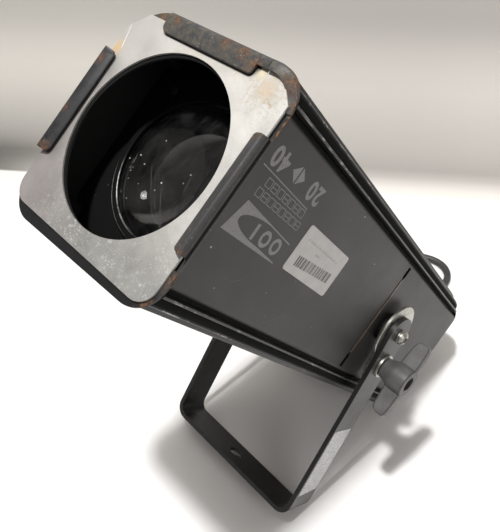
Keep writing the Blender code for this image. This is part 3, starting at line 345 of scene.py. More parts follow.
def post_paint():
    """Black extrusion: bright fin tips, partly wear and partly painted highlight, paint chipped to
    white near the front, a scuffed patch and a dead black inside.
    """
    p = Paint("post_black", grey(0.014), 0.36)
    length = p.noise(2.2, 4, 0.6, (1, 1, 14))
    fine = p.noise(0.9, 3, 0.5, (1, 1, 3))
    rim = p.edge(0.45)
    p.colour = p.mix(p.ramp(length, 0.4, 0.75), grey(0.01), grey(0.024, 0.03))
    # Fin tips and rims lighter: partly rubbed paint, partly a painted highlight along the fins.
    p.lay(grey(0.14, 0.02), rim, 0.5)
    spots = (
        ((62, 62, -30), 26), ((63, 61, -66), 20), ((63, -60, -18), 18), ((66, -53, -34), 16),
        ((63, -60, -75), 14), ((63, -60, -190), 16), ((52, -66, -20), 15), ((63, 61, -110), 12),
    )
    place = p.any(*(p.near(c, r, 0.7) for c, r in spots))
    chip = p.all(p.patches(0.55, 0.59, 3, 4, 0.7, (1, 1, 2.4)), p.edge(1, 0.003, 0.04), place)
    p.lay(grey(0.6, 0.03), chip)
    scuff = p.all(p.near((64, -57, -205), 26, 0.8), p.patches(0.5, 0.66, 2, 5, 0.7, (1, 1, 5)))
    p.lay((0.16, 0.13, 0.11), scuff, 0.75)
    black = p.inside(60.6)
    p.lay(grey(0.0025), black)
    ribs = p.add(p.all(length, 0.6), fine)
    return p.done(p.blend(black, p.blend(length, 0.28, 0.48), 0.85), ribs, 0.16, 0.00008)


def runner_paint():
    """Black paint gone dull, dusty and rusty on the pressed steel ring, with painted light and
    shade by side and a painted black shade in the bore and under the lips.
    """
    p = Paint("rusty_steel", grey(0.03), 0.55, Specular_IOR_Level=0.35)
    cloud = p.noise(7, 6, 0.7)
    fine = p.noise(1, 6, 0.75)
    blotch = p.noise(4, 6, 0.75, (1, 1, 1), (5, 2, 9))
    hue = p.noise(3, 5, 0.7, (1, 1, 1), (1, 8, 4))
    p.colour = p.mix(p.ramp(cloud, 0.35, 0.65), (0.01, 0.01, 0.011), (0.026, 0.026, 0.028))
    # Worn, blotchy paint on the upper side, lighter there partly as painted light; the flat lighter
    # tone on the right side is painted light.
    upper = p.past("Y", 46, 58)
    right = p.past("X", 48, 58)
    worn = p.mix(p.ramp(hue, 0.38, 0.62), (0.032, 0.036, 0.042), (0.085, 0.075, 0.055))
    p.lay(worn, upper, p.blend(p.ramp(cloud, 0.3, 0.6), 0.45, 1))
    p.lay((0.042, 0.042, 0.042), right, 0.6)
    # Painted shade: the lower side darker, with less dust showing.
    shaded_lower = p.past("Y", -50, -57)
    p.lay((0.005, 0.005, 0.006), shaded_lower, 0.8)
    dusty = p.all(p.patches(0.54, 0.74, 0.7, 3, 0.6), p.blend(shaded_lower, 1, 0.25))
    p.lay((0.15, 0.147, 0.14), dusty, 0.3)
    spots = (
        ((-30, 67, 4), 10), ((10, 67, 4), 9), ((24, 66, 4), 9), ((34, 61, 4), 9),
        ((57, 63, -1), 12), ((67, 56, -1), 12), ((67, 42, 1), 8), ((62, -31, 3), 6),
        ((-60, -31, 3), 8), ((66, -45, -1), 11), ((60, -60, -1), 7), ((-62, 28, 4), 6),
        ((-64, -5, 4), 6), ((-45, 66, 0), 13), ((61, 33, 4), 5),
    )
    place = p.any(*(p.near(c, r, 0.9) for c, r in spots))
    spread = p.add(p.all(place, 0.2), p.all(p.add(blotch, fine), 0.5))
    rust = p.ramp(spread, 0.59, 0.7)
    shade = p.mix(p.patches(0.35, 0.68, 2.2, 6, 0.75), (0.035, 0.02, 0.014), (0.2, 0.1, 0.045))
    p.lay(shade, rust, 0.75)
    pale = p.all(p.dots(1.5, 0.17, 5), p.patches(0.5, 0.64, 6, 4), p.any(upper, right))
    p.lay((0.3, 0.28, 0.24), pale, 0.5)
    rim = p.all(p.edge(0.5), p.ramp(cloud, 0.42, 0.62), p.any(upper, right))
    p.lay((0.12, 0.09, 0.065), rim, 0.45)
    strip = p.all(p.past("Z", -2.3, -2.45), p.past("X", 64, 64.3), p.past("Y", 35.4, 35.6))
    flaky = p.mix(p.patches(0.42, 0.62, 2.4, 6, 0.75), (0.008, 0.005, 0.004), (0.2, 0.1, 0.05))
    p.lay(flaky, strip)
    # Painted shade: near black in the bore, where the plate shades the ring, and under the lips.
    across_beam = p.vector("MULTIPLY", p.at(), (1, 1, 0)).outputs[0]
    painted_shade = p.ramp(p.vector("LENGTH", across_beam).outputs["Value"], 56.5, 55.5)
    height = p.part("Z")
    side = p.any(p.past("Y", 67.6, 67.4), p.past("X", 63.6, 63.4, True))
    keep = p.any(p.past("X", 41.3, 41.1, True), p.past("Y", 40, 38))
    under_lip_shade = p.all(p.ramp(height, -1.35, -1.2), p.ramp(height, 1.1, 0.9), p.past("Y", 67.6, 67.3))
    painted_shade = p.any(painted_shade, p.all(under_lip_shade, side, keep))
    p.lay(grey(0.002), painted_shade)
    scale = p.add(fine, p.all(rust, 0.8))
    return p.done(p.blend(painted_shade, p.blend(rust, 0.45, 0.85), 1), scale, 0.4, 0.00016)


def plate_paint():
    """Bare aluminium sheet: faintly brushed, dusty, scratched and stained by the rusty runner, with
    a painted sheen and shade across it and painted shadow under the lips.
    """
    p = Paint("bare_aluminium", grey(0.5), 0.45, 0.55)
    brushed = p.noise(0.45, 4, 0.6, (1, 14, 1))
    cloud = p.noise(22, 6, 0.65)
    cloudy = p.ramp(cloud, 0.3, 0.7)
    grain = p.noise(0.9, 4, 0.7)
    # Painted sheen and shade: brighter and cooler towards the upper right, darker and warmer
    # towards the lower left.
    warm = p.mix(cloudy, (0.29, 0.268, 0.262), (0.36, 0.335, 0.325))
    sheen_tone = p.mix(cloudy, (0.52, 0.515, 0.49), (0.62, 0.61, 0.58))
    lower_left_shade = p.mix(cloudy, (0.27, 0.275, 0.262), (0.35, 0.352, 0.335))
    over = p.ramp(p.add(p.part("X"), p.all(p.part("Y"), 1.1)), -95, 40)
    p.colour = p.mix(over, warm, sheen_tone)
    p.lay(lower_left_shade, p.past("Y", -20, -52), p.past("X", -45, 5))
    p.lay((0.5, 0.48, 0.48), p.ramp(brushed, 0.35, 0.75), 0.22)
    p.lay((0.2, 0.19, 0.18), p.ramp(grain, 0.55, 0.8), 0.35)
    many = p.any(p.near((5, -64, 0), 60, 0.8), p.near((20, -66, 0), 40, 0.8), p.past("X", 40, 60))
    white = p.any(
        p.all(p.dots(1, 0.22, 2), p.patches(0.42, 0.62, 5, 4)),
        p.all(p.dots(1.9, 0.17, 7), p.patches(0.44, 0.6, 9, 4)),
        p.all(p.dots(4.5, 0.16, 4), p.patches(0.42, 0.56, 1.6, 5, 0.8),
              p.patches(0.42, 0.55, 15, 3)),
        p.all(p.patches(0.62, 0.72, 1.7, 6, 0.8), p.patches(0.46, 0.62, 9, 4)),
    )
    white = p.all(white, p.blend(many, 0.2, 1))
    p.lay((0.6, 0.6, 0.575), white, 0.6)
    dirty = p.any(p.past("X", 36, 60), p.near((44, 55, 0), 24, 0.7), p.all(many, 0.6))
    p.lay((0.2, 0.175, 0.15), p.patches(0.58, 0.74, 2, 6, 0.75), dirty, 0.5)
    # Stains of the rusty ring at its upper right corner, and beside its left lip
    spread = p.add(p.all(p.near((46, 56, 0), 20, 0.9), 0.3), p.noise(3.2, 6, 0.75))
    stain = p.all(p.ramp(spread, 0.62, 0.76), p.near((46, 56, 0), 22, 0.4))
    olive = p.patches(0.5, 0.66, 2.4, 6, 0.8, (1, 1, 1), (3, 3, 3))
    pink = p.patches(0.36, 0.6, 2.6, 5, 0.7, (1, 1, 1), (2, 6, 1))
    halo = p.near((-62, 38, 0), 7.5, 1)
    p.lay((0.62, 0.55, 0.45), p.near((0, 58, 0), 34, 0.9), 0.22)
    p.lay((0.3, 0.235, 0.14), stain, 0.45)
    p.lay((0.42, 0.26, 0.1), p.near((26, 60, 0), 8, 0.7), p.patches(0.45, 0.62, 1.8, 4, 0.7), 0.6)
    p.lay((0.24, 0.22, 0.13), p.near((50, 50, 0), 20, 0.8), olive, 0.5)
    p.lay((0.66, 0.58, 0.36), p.near((38, 60.5, 0), 6, 0.7, 3), 0.7)
    p.lay((0.58, 0.36, 0.2), p.near((47, 54.8, 0), 8.5, 0.9, 4), pink, 0.6)
    p.lay((0.38, 0.26, 0.17), p.stroke((49.5, 52.5), (55.5, 47), 2.4), p.patches(0.4, 0.65, 1.5, 4))
    p.lay((0.55, 0.33, 0.08), halo, 0.75)
    p.lay((0.3, 0.16, 0.07), p.near((-60, 8, 0), 6, 0.9), 0.3)
    p.lay(grey(0.9), p.stroke((-61.8, 54), (-57.4, 38.5), 0.6), 0.85)
    hair = p.any(p.stroke((37.8, 56.4), (40.6, 39.4), 0.5), p.stroke((-12, 58.5), (8, 61), 0.3))
    p.lay(grey(0.75), hair, 0.4)
    # Painted shadow: near black where a lip covers the plate and where its shadow falls
    lip_shadow = p.any(
        p.all(p.past("Y", 55.7, 56.2), p.past("X", 37.2, 36.4, True),
              p.ramp(p.add(p.part("X"), p.all(p.part("Y"), -1)), -20.4, -21.2)),
        p.all(p.past("X", -57.2, -57.8), p.past("Y", 34, 32.5, True)),
    )
    covered = p.new("AmbientOcclusion", {"Distance": 6 * MM}, samples=8).outputs["AO"]
    lip_shadow = p.all(lip_shadow, p.ramp(covered, 0.85, 0.6))
    p.lay((0.012, 0.009, 0.007), lip_shadow)
    p.to("Metallic", p.blend(p.any(white, stain, halo, lip_shadow), 0.55, 0.1))
    relief = p.add(p.all(brushed, 0.35), p.any(white, grain))
    return p.done(p.blend(cloudy, 0.4, 0.56), relief, 0.2, 0.00007)


def lens_paint(name, haze, tint, shine=0.5):
    """Glass with a thin film of dust and wiping marks."""
    p = Paint(name, grey(tint), 0.03, Transmission_Weight=1, IOR=1.5, Specular_IOR_Level=shine)
    film = p.patches(0.4, 0.75, 16, 5, 0.65)
    fine = p.patches(0.6, 0.75, 0.5, 2, 0.6)
    wiped = p.patches(0.5, 0.75, 5, 5, 0.7, (0.3, 3, 1))
    dust = p.all(p.add(p.add(film, p.all(fine, 0.4)), wiped), haze)
    marks = p.any(
        p.stroke((-17, -4), (-6.2, -16.2), 0.3),
        p.stroke((-0.8, -11), (12.9, -31), 0.3),
        p.stroke((-2.5, -16.9), (3.6, -23.8), 0.25),
        p.stroke((13.4, 1.8), (14.8, -7.8), 0.25),
    )
    dust = p.any(dust, p.all(marks, haze * 9))
    p.to("Roughness", p.blend(film, 0.02, 0.07))
    p.to("Transmission Weight", p.blend(dust, 1, 0.3))
    return p.mat


def metal(name, colour, rough, grain=1):
    """Plated or bare metal with fine scratches and stains."""
    p = Paint(name, colour, rough, 1)
    lines = p.noise(0.6, 3, 0.6, (1, 1, 9))
    cloud = p.noise(7, 5, 0.65)
    p.lay(tuple(c * 0.55 for c in colour), p.ramp(cloud, 0.45, 0.75))
    return p.done(p.blend(cloud, rough * 0.8, rough * 1.35), lines, 0.12 * grain, 0.00005)


def moulded(name, base, rough, dust=0.3):
    """Moulded plastic: a fine pebble and dust in the grain, with a painted shade line just inside
    each rim and a painted highlight on the rim.
    """
    p = Paint(name, grey(base), rough)
    pebble = p.noise(0.7, 3, 0.6)
    cloud = p.noise(11, 6, 0.65)
    p.colour = p.mix(p.ramp(cloud, 0.35, 0.7), grey(base * 0.8), grey(base * 1.35, 0.01))
    p.lay(grey(0.22, 0.02), p.ramp(pebble, 0.55, 0.8), dust)
    # Painted shade: a dark line just inside each rim.
    p.lay(grey(base * 0.14), p.edge(1.1, 0, 0.02), 0.85)
    # Painted highlight: a lighter line on the rim itself.
    p.lay(grey(base * 2.2, 0.02), p.edge(0.35, 0.02, 0.12), 0.6)
    return p.done(p.blend(cloud, rough - 0.05, rough + 0.1), pebble, 0.25, 0.0001)


def rubber_paint(name, base, rough):
    """Rubber sheath with faint scuffs."""
    p = Paint(name, grey(base), rough)
    scuff = p.noise(3, 5, 0.7)
    p.lay(grey(base * 2.2, 0.03), p.ramp(scuff, 0.45, 0.75))
    return p.done(p.blend(scuff, rough - 0.08, rough + 0.1), p.noise(0.8, 3, 0.5), 0.12, 0.00005)


def fabric(name, base):
    """Woven strap: crossing ribs a third of a millimetre apart."""
    p = Paint(name, grey(base), 0.9, Sheen_Weight=0.3)
    waves = []
    for axis in "XZ":
        values = {"Scale": 0.9, "Distortion": 0.4, "Vector": p.at()}
        waves.append(p.new("TexWave", values, bands_direction=axis).outputs["Fac"])
    weave = p.all(*waves)
    p.colour = p.mix(weave, grey(base * 0.6), grey(base * 1.8))
    return p.done(None, weave, 0.5, 0.00015)


def two_tone(name, rough, low, high, none, full, *noise):
    """Plain paint that wavers between two tones."""
    p = Paint(name, low, rough)
    p.lay(high, p.patches(none, full, *noise))
    return p.done()


def ceramic_paint():
    """Unglazed ceramic, scorched a little."""
    p = Paint("ceramic", (0.7, 0.67, 0.6), 0.65)
    p.lay((0.36, 0.31, 0.26), p.patches(0.5, 0.8, 9, 4))
    return p.done(None, p.noise(0.6, 3), 0.3, 0.00008)


def plug_paint():
    """Black plug body with brass pins beyond its face."""
    p = Paint("plug_body", grey(0.022), 0.4)
    face = (GROUND @ Vector((0, PLUG_Y - PLUG_LONG, 0))).y
    pin = p.ramp(p.axes(p.new("TexCoord").outputs["Object"])[1], face + 0.0001, face - 0.0001)
    cloud = p.noise(9, 4)
    p.colour = p.mix(pin, p.mix(cloud, grey(0.016), grey(0.034)), (0.66, 0.5, 0.26))
    p.to("Metallic", pin)
    return p.done(p.blend(pin, 0.42, 0.25), p.noise(0.8, 3), 0.2, 0.00006)


def lamp_paint():
    """Clear bulb with a frosted, pale base."""
    p = Paint("lamp_glass", (0.95, 0.96, 0.96), 0.04, Transmission_Weight=1, IOR=1.45)
    p.to("Roughness", p.blend(p.noise(4, 4), 0.02, 0.12))
    return p.mat


inner_black = satin_black("inner_black", 0.0025, 0.75, 0.06, 0.05)
inner_black.set("Specular IOR Level", 0.12)
cord_rubber = rubber_paint("cord_rubber", 0.03, 0.48)
steel = metal("zinc_steel", (0.5, 0.5, 0.46), 0.36)
SLOTS = {
    "post_black": post_paint(),
    "panel_black": panel_paint(),
    "inner_black": inner_black.mat,
    "yoke_black": yoke_paint(),
    "rusty_steel": runner_paint(),
    "bare_aluminium": plate_paint(),
    "zinc_steel": steel,
    "blade_steel": metal("blade_steel", (0.3, 0.24, 0.18), 0.5),
    "lens_glass": lens_paint("lens_glass", 0.024, 0.8),
    "reflector_mirror": metal("reflector_mirror", (0.85, 0.85, 0.86), 0.12, 0.3),
    "ceramic": ceramic_paint(),
    "knob_plastic": moulded("knob_plastic", 0.075, 0.45),
    "cord_rubber": cord_rubber,
    "strap_fabric": fabric("strap_fabric", 0.03),
}
BY_NODE = {entry["node"]: SLOTS[entry["material_slot"]] for entry in frame["record"]["subparts"]}
BY_NODE["plug"] = plug_paint()
BY_NODE["lamp"] = lamp_paint()
# Grey tint and faint reflections: painted shade that keeps the lenses deep in the housing dark.
BY_NODE["rear_lens"] = lens_paint("rear_lens_glass", 0, 0.45, 0.1)
BY_NODE["condenser_lens"] = lens_paint("condenser_glass", 0, 0.45, 0.1)
for name, mat in BY_NODE.items():
    data = NODES[name].data
    data.materials.clear()
    data.materials.append(mat)


# Mesh tools

def arc(cx, cy, r, a0, a1, n):
    """Points of an arc, both ends included, angles in degrees."""
    points = []
    for i in range(n + 1):
        a = radians(a0 + (a1 - a0) * i / n)
        points.append((cx + r * cos(a), cy + r * sin(a)))
    return points


def circle(cx, cy, r, n=32):
    return arc(cx, cy, r, 0, 360, n)[:-1]


def round_box(x0, x1, y0, y1, r, n=4):
    """Outline of a rectangle with round corners."""
    return (
        arc(x1 - r, y1 - r, r, 0, 90, n)
        + arc(x0 + r, y1 - r, r, 90, 180, n)
        + arc(x0 + r, y0 + r, r, 180, 270, n)
        + arc(x1 - r, y0 + r, r, 270, 360, n)
    )


def flat(u, v, h):
    """Outline in X and Y, height along Z."""
    return (u, v, h)


def across(u, v, h):
    """Outline in Y and Z, height along X."""
    return (h, u, v)


def on_yoke(u, v, h):
    """Outline in the yoke's own plane: u along the arm, v across it, h along X."""
    c, s = cos(YOKE_LEAN), sin(YOKE_LEAN)
    return (h, PIVOT_Y - u * c - v * s, PIVOT_Z - u * s + v * c)


def rect(u, v, long, wide):
    """Outline of a rectangle that runs long from u and back wide from v."""
    return [(u, v), (u + long, v), (u + long, v - wide), (u, v - wide)]


def bridge(bm, a, b):
    """Joins two closed rings of equally many corners."""
    for i in range(len(a)):
        bm.faces.new((a[i - 1], a[i], b[i], b[i - 1]))


def prism(bm, outline, h0, h1, place=flat, holes=()):
    """Adds a closed prism of the outline, with through holes, to bm."""
    loops = [outline, *holes]
    low = [[bm.verts.new(place(u, v, h0)) for u, v in loop] for loop in loops]
    high = [[bm.verts.new(place(u, v, h1)) for u, v in loop] for loop in loops]
    for a, b in zip(low, high):
        bridge(bm, a, b)
    low, high = sum(low, []), sum(high, [])
    vectors = [[Vector((u, v, 0)) for u, v in loop] for loop in loops]
    for tri in tessellate_polygon(vectors):
        bm.faces.new([low[i] for i in tri])
        bm.faces.new([high[i] for i in reversed(tri)])
    return bm


def lathe(bm, profile, steps, centre, sign):
    """Adds a solid of revolution about Z whose profile of (r, h) starts and ends on the axis."""
    rings = []
    for r, h in profile:
        around = circle(0, 0, r, steps) if r else [(0, 0)]
        rings.append([bm.verts.new(Vector((x, y, sign * h)) + Vector(centre)) for x, y in around])
    for a, b in zip(rings, rings[1:]):
        if len(a) == len(b):
            bridge(bm, a, b)
            continue
        for i in range(steps):
            bm.faces.new([a[0], b[i], b[i - 1]] if len(a) == 1 else [a[i - 1], a[i], b[0]])


def piece(name, bm, mat, body="housing", place=BODY, bevel=0, smooth=40):
    """Makes an object of bm, drawn in millimetres, which rides on a body."""
    bmesh.ops.recalc_face_normals(bm, faces=bm.faces[:])
    bm.transform(place)
    return finished(name, bm, mat, body, bevel, smooth)


def finished(name, bm, mat, body, bevel, smooth):
    """Makes an object of bm as it stands in the world, its rims rounded."""
    data = bpy.data.meshes.new(name)
    bm.to_mesh(data)
    bm.free()
    data.materials.append(mat)
    data.shade_smooth()
    made = added(name, data)
    if bevel:
        rounded = made.modifiers.new("rim", "BEVEL")
        rounded.width = bevel * MM
        rounded.segments = 2
        rounded.limit_method = "ANGLE"
        rounded.angle_limit = radians(smooth)
        rounded.harden_normals = True
    data.set_sharp_from_angle(angle=radians(smooth))
    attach(made, body)
    return made


def stand_in(name, bm, node, bevel, smooth=30):
    """Makes a piece that takes a node's place, paint and body."""
    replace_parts(piece(name, bm, BY_NODE[node], body_of(node), BODY, bevel, smooth), node)


def body_of(node):
    """The body that carries a node."""
    for body, nodes in frame["record"]["behaviour"]["bodies"].items():
        if node in nodes:
            return body
    return "housing"


def trim_tips(bm):
    """Files the front tips of the upper left post's fins down, so that the ring hides them."""
    inverse = BODY.inverted()
    where = inverse @ (sum((v.co for v in bm.verts), Vector()) / len(bm.verts))
    if where.x > 0 or where.y < 0:
        return
    all_of_it = bm.verts[:] + bm.edges[:] + bm.faces[:]
    low, ahead = BODY @ Vector((0, 0, -14)), TURN.to_3x3() @ Vector((0, 0, 1))
    bmesh.ops.bisect_plane(bm, geom=all_of_it, dist=1e-6, plane_co=low, plane_no=ahead)
    for v in bm.verts:
        p = inverse @ v.co
        over = abs(p.x) + abs(p.y - HOUSING_Y) - 113.5
        if p.z > -8 and over > 0:
            p.x += over / 2
            p.y -= over / 2
            v.co = BODY @ p


def refine(node, bevel, smooth=32):
    """A copy of a CAD node with joined faces and softened edges, which stands for the node."""
    bm = bmesh.new()
    bm.from_mesh(NODES[node].data)
    bmesh.ops.remove_doubles(bm, verts=bm.verts[:], dist=2e-6)
    level = radians(0.4)
    bmesh.ops.dissolve_limit(bm, angle_limit=level, verts=bm.verts[:], edges=bm.edges[:])
    if node.startswith("corner_post"):
        trim_tips(bm)
    made = finished(node + "_skin", bm, BY_NODE[node], body_of(node), bevel, smooth)
    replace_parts(made, node)
    return made


# Cord, tie and plug

CORD_R = 4
COIL_X = -55
COIL_Y = 318
COIL_START_R = 48
COIL_PITCH = 8.8
COIL_TURNS = 4
COIL_LIFT = 1.5
CORD_GAP = 0.3
EXIT_POINT = Vector((18, 36.3, REAR_Z - 35.5))
PLUG_END = Vector((-112, PLUG_Y + CORD_GAP, 20.3))
ON_FLOOR = CORD_R + CORD_GAP


def coil_points():
    """Centre line of the coil: in along one layer, up where it turns back, out on the next."""
    turn_back = 1.75
    inner = COIL_START_R - COIL_PITCH * turn_back
    points = []
    count = int(COIL_TURNS * 24)
    for i in range(count + 1):
        turns = COIL_TURNS * i / count
        r = inner + COIL_PITCH * hypot(abs(turns - turn_back), 0.06)
        climb = min(max((turns - turn_back + 0.25) / 0.5, 0), 1)
        z = CORD_R + COIL_LIFT + COIL_PITCH * climb * climb * (3 - 2 * climb)
        a = pi + 2 * pi * turns
        points.append(Vector((COIL_X + r * cos(a), COIL_Y + r * sin(a), z)))
    return points


def cord_route():
    """The whole centre line on the floor, from the strain relief to the plug."""
    d = 2 * CORD_R
    way = TURN.to_3x3() @ Vector((0, 0, -1))
    start = TURN @ EXIT_POINT + Vector((0, 0, HEIGHT)) + way * CORD_GAP
    coil = coil_points()
    way_in = (coil[1] - coil[0]).normalized()
    way_out = (coil[-1] - coil[-2]).normalized()
    falling = ((18.2, 310.4, 9.9), (19, 319, 5.7))
    lying = (
        (19.2, 328.5), (16.5, 340.5), (9.2, 351.5), (3, 363), (-0.5, 375), (-3.7, 385.3),
        (-10.4, 393.8), (-20.3, 399.3), (-31.8, 399.9), (-43.8, 396.2), (-58.8, 389.2),
        (-75.8, 378),
    )
    rising = ((-91, 362.5, ON_FLOOR + 0.2), (-100.3, 346.8, ON_FLOOR + 0.8))
    floor = [(x, y, ON_FLOOR) for x, y in lying]
    lead = [start, start + way * d] + [Vector(p) for p in (*falling, *floor, *rising)]
    lead += [coil[0] - way_in * (2 * d + CORD_GAP), coil[0] - way_in * d]
    first = coil[-1] + way_out * (d + CORD_GAP) + way_out * d
    last = PLUG_END + Vector((0, d, 0))
    steps = 5
    tail = [first.lerp(last, i / steps) for i in range(steps + 1)]
    return lead + coil + tail + [PLUG_END]


def make_cord():
    """One smooth curve for the free cord, with its tie and plug."""
    data = bpy.data.curves.new("mains_cord", "CURVE")
    data.dimensions = "3D"
    data.bevel_depth = CORD_R * MM
    data.bevel_resolution = 6
    data.resolution_u = 5
    data.use_fill_caps = True
    points = [GROUND @ p for p in cord_route()]
    spline = data.splines.new("BEZIER")
    spline.bezier_points.add(len(points) - 1)
    for point, p in zip(spline.bezier_points, points):
        point.co = p
        point.handle_left_type = point.handle_right_type = "AUTO"
    data.materials.append(cord_rubber)
    made = added("mains_cord", data)
    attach(made, "housing")
    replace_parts(made, "power_cord", "cord_coil", "cord_tail")
    strap = make_strap()
    plug = refine("plug", 0, 40)


def make_strap():
    """Woven strap round the coil, with a stitched overlap."""
    low = COIL_LIFT - 1.35
    y0, y1 = COIL_Y - 51, COIL_Y - 31.5
    top = COIL_LIFT + 2 * CORD_R + COIL_PITCH + 0.4
    inner = round_box(y0, y1, low + 1, top, 2.5, 6)
    outer = round_box(y0 - 1, y1 + 1, low, top + 1, 3.5, 6)
    bm = prism(bmesh.new(), outer, COIL_X - 6, COIL_X + 6, across, [inner])
    strap = piece("cord_strap", bm, SLOTS["strap_fabric"], "housing", GROUND, 0.3, 40)
    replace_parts(strap, "cord_tie")
    outline = round_box(y0 + 1.5, y1 - 4, COIL_X - 5.6, COIL_X + 5.6, 1.2)
    flap = prism(bmesh.new(), outline, top + 1, top + 1.9, lambda u, v, h: (v, u, h))
    piece("strap_flap", flap, SLOTS["strap_fabric"], "housing", GROUND, 0.25, 40)
    return strap


make_cord()


# Finer copies of the nodes that show

for bevel, nodes in (
    (0.12, "front_lens_ring"),
    (0.15, "side_panel_right side_panel_left top_panel underside_panel"),
    (0.15, "lamp_tray tray_thumb_screw front_lens_carrier"),
    (0.16, "corner_post_1 corner_post_2 corner_post_3 corner_post_4"),
    (0.2, "rear_cover right_pivot_bolt left_pivot_bolt right_spacer left_spacer brake_shoe"),
    (0.25, "right_disc left_disc knob_washer cable_gland"),
    (0.3, "front_lens_knob rear_lens_knob strain_relief"),
    (0.35, "yoke wing_knob"),
):
    for node in nodes.split():
        refine(node, bevel)
for node in ("rear_lens", "condenser_lens", "lamp", "lamp_holder"):
    refine(node, 0, 40)


# Ring, plate, right blade and front lens, drawn anew with the photograph's small departures

def end_on(k):
    """A section of side k: u runs across the side, v outwards and h along Z."""
    a = radians(90 * k)
    return lambda u, v, h: (v * cos(a) - u * sin(a), v * sin(a) + u * cos(a), h)


def ring_outline():
    """Outline of the pressed ring, its upper left corner much rounder than the others."""
    x0, x1, y = -63.3, 65.5, 69.5
    outline = [(x1, 35.3), (62, 35.3), (62, 49.4)]
    outline += arc(x1 - 20, y - 20, 20, 0, 90, 12) + arc(x0 + 27, y - 27, 27, 90, 180, 16)
    outline += [(x0, 35.8), (-65.5, 35.8), (-65.5, -32.8), (x0, -32.8)]
    outline += arc(x0 + 20, 20 - y, 20, 180, 270, 12) + arc(x1 - 20, 22 - y, 20, 270, 360, 12)
    return outline


def lip_section(width, lean, face, dip):
    """Section of a lip whose free edge dips towards the plate and whose wall leans inwards."""
    r = LIP_BEND
    thin = r - RING_SHEET
    low, high = -2 * RING_SHEET, -RING_SHEET
    outer = [(-r - 2, low), (-r, low)] + arc(-r, low + r, r, 270, 360, 6)[1:]
    outer += arc(-r, face - r, r, 0, 90, 6)
    outer += [(-width + 0.6, face - dip), (-width, face - dip - 0.6)]
    inner = [(-width, face - dip - RING_SHEET + 0.5), (-width + 0.5, face - dip - RING_SHEET)]
    inner += list(reversed(arc(-r, face - r, thin, 0, 90, 6)))
    inner += [(-r + thin, high + 0.9), (-r + thin - 0.6, high), (-r - 2, high)]
    return [(u - lean * max(0, v - high) / (face - high), v) for u, v in outer + inner]


def loft(bm, sections):
    """Adds a closed solid through sections of equally many points."""
    rings = [[bm.verts.new(p) for p in section] for section in sections]
    for a, b in zip(rings, rings[1:]):
        bridge(bm, a, b)
    bm.faces.new(rings[0])
    bm.faces.new(list(reversed(rings[-1])))


def lip(bm, k, edge, low, high, width, corners, lean, tail, face, dip):
    """One lip along side k, its free corners rounded; a tail is a narrow run past its low end."""
    place = end_on(k)
    stations = []
    for end, way, r in ((low, 1, corners[0]), (high, -1, corners[1])):
        turn = [(end + way * r * (1 - c), r * (1 - s)) for c, s in arc(0, 0, 1, 0, 90, 6)]
        stations += turn[::way]
    if tail:
        narrow = width - 6
        stations = [(low - tail, narrow), (low - 0.15, narrow)] + stations
    sections = []
    for s, cut in stations:
        section = []
        for u, v in lip_section(width, lean, face, dip):
            free = max(0, min(1, (-LIP_BEND - lean - u) / (width - LIP_BEND))) if v > 0.3 else 0
            section.append(place(s, edge + u + cut * free, v))
        sections.append(section)
    loft(bm, sections)


def shoulder(bm):
    """The ring's upper right corner, level with its lip's end and falling away round the bend."""
    sections = []
    for x, turn in [(41.8, 90)] + [(45.5, 90 - 5 * i) for i in range(17)]:
        a = radians(turn)
        high = 2.8 - 4.1 * min(1, (1 - turn / 90) * 1.4) ** 1.3
        low = -2 * RING_SHEET
        soft = (high - low) * 0.3
        lean = 0.8 * (high - low) / 5.8
        profile = [
            (20, low), (20 - lean * 0.6, high - soft), (20 - lean - soft * 0.3, high - soft * 0.3),
            (20 - lean - soft, high), (13.5, high), (13.5, low),
        ]
        sections.append([(x + r * cos(a), 49.5 + r * sin(a), z) for r, z in profile])
    loft(bm, sections)


def ring():
    """The pressed ring with its three lips, and a relief hole beside the root of one."""
    # Side, edge, ends along it, width, corner radii, lean, tail, height of its face, dip
    lips = (
        (0, 65.5, -31.4, 34.8, 8.5, (2, 2), 0, 0, 5, 2.6),
        (1, 69.5, -34.1, 37.1, 12, (2.4, 4.6), 0.8, 7.2, 2.8, 0.6),
        (2, 65.5, -35, 32.6, 9.5, (3.4, 3.4), 0.4, 0, 5, 2),
    )
    holes = [circle(0, 0, 52, 72)]
    relief = round_box(-39.2, -31.8, 65.5 - 5.6, 65.5 - 0.7, 1.4, 3)
    holes.append([end_on(0)(u, v, 0)[:2] for u, v in relief])
    bm = prism(bmesh.new(), ring_outline(), -2 * RING_SHEET, -RING_SHEET, flat, holes)
    for k, edge, *more in lips:
        lip(bm, k, edge + 0.02, *more)
    shoulder(bm)
    prism(bm, [(64.5, 34.9), (65.4, 34.9), (65.4, 50), (64.5, 50)], -2 * RING_SHEET, -2.5)
    stand_in("ring", bm, "colour_frame_runner", 0.13)


def plate():
    """The colour frame, two corners cut and two rounded."""
    x0, x1, y0, y1, cut, r = -63.4, 62.6, -62.7, 63.3, 11, 12
    outline = [(x1, y1 - cut), (x1 - cut, y1), (x0 + cut, y1), (x0, y1 - cut)]
    outline += arc(x0 + r, y0 + r, r, 180, 270, 10) + arc(x1 - r, y0 + r, r, 270, 360, 10)
    bm = prism(bmesh.new(), outline, -1.2, 0, flat, [circle(-1.65, 0.95, 52.5, 96)])
    stand_in("plate", bm, "colour_frame", 0.2)


def right_blade():
    """The right shutter blade, its folded edge a thin line in the slot."""
    low, high, z = -34.1, 36.4, GATE_Z
    end, edge, lip_end = HALF - 0.6, HALF - 1.1, HALF + 0.4
    outline = [(7, low + 3), (7, high - 3), (10, high), (end, high), (end, low), (10, low)]
    bm = prism(bmesh.new(), outline, z - 0.55, z + 0.55)
    fold = [(edge, low + 0.2), (edge, high - 0.2), (lip_end, high - 1.2), (lip_end, low + 1.2)]
    prism(bm, fold, z - 0.62, z + 0.62)
    bmesh.ops.translate(bm, verts=bm.verts[:], vec=(0, HOUSING_Y, 0))
    stand_in("right_blade", bm, "shutter_blade_right", 0.1)


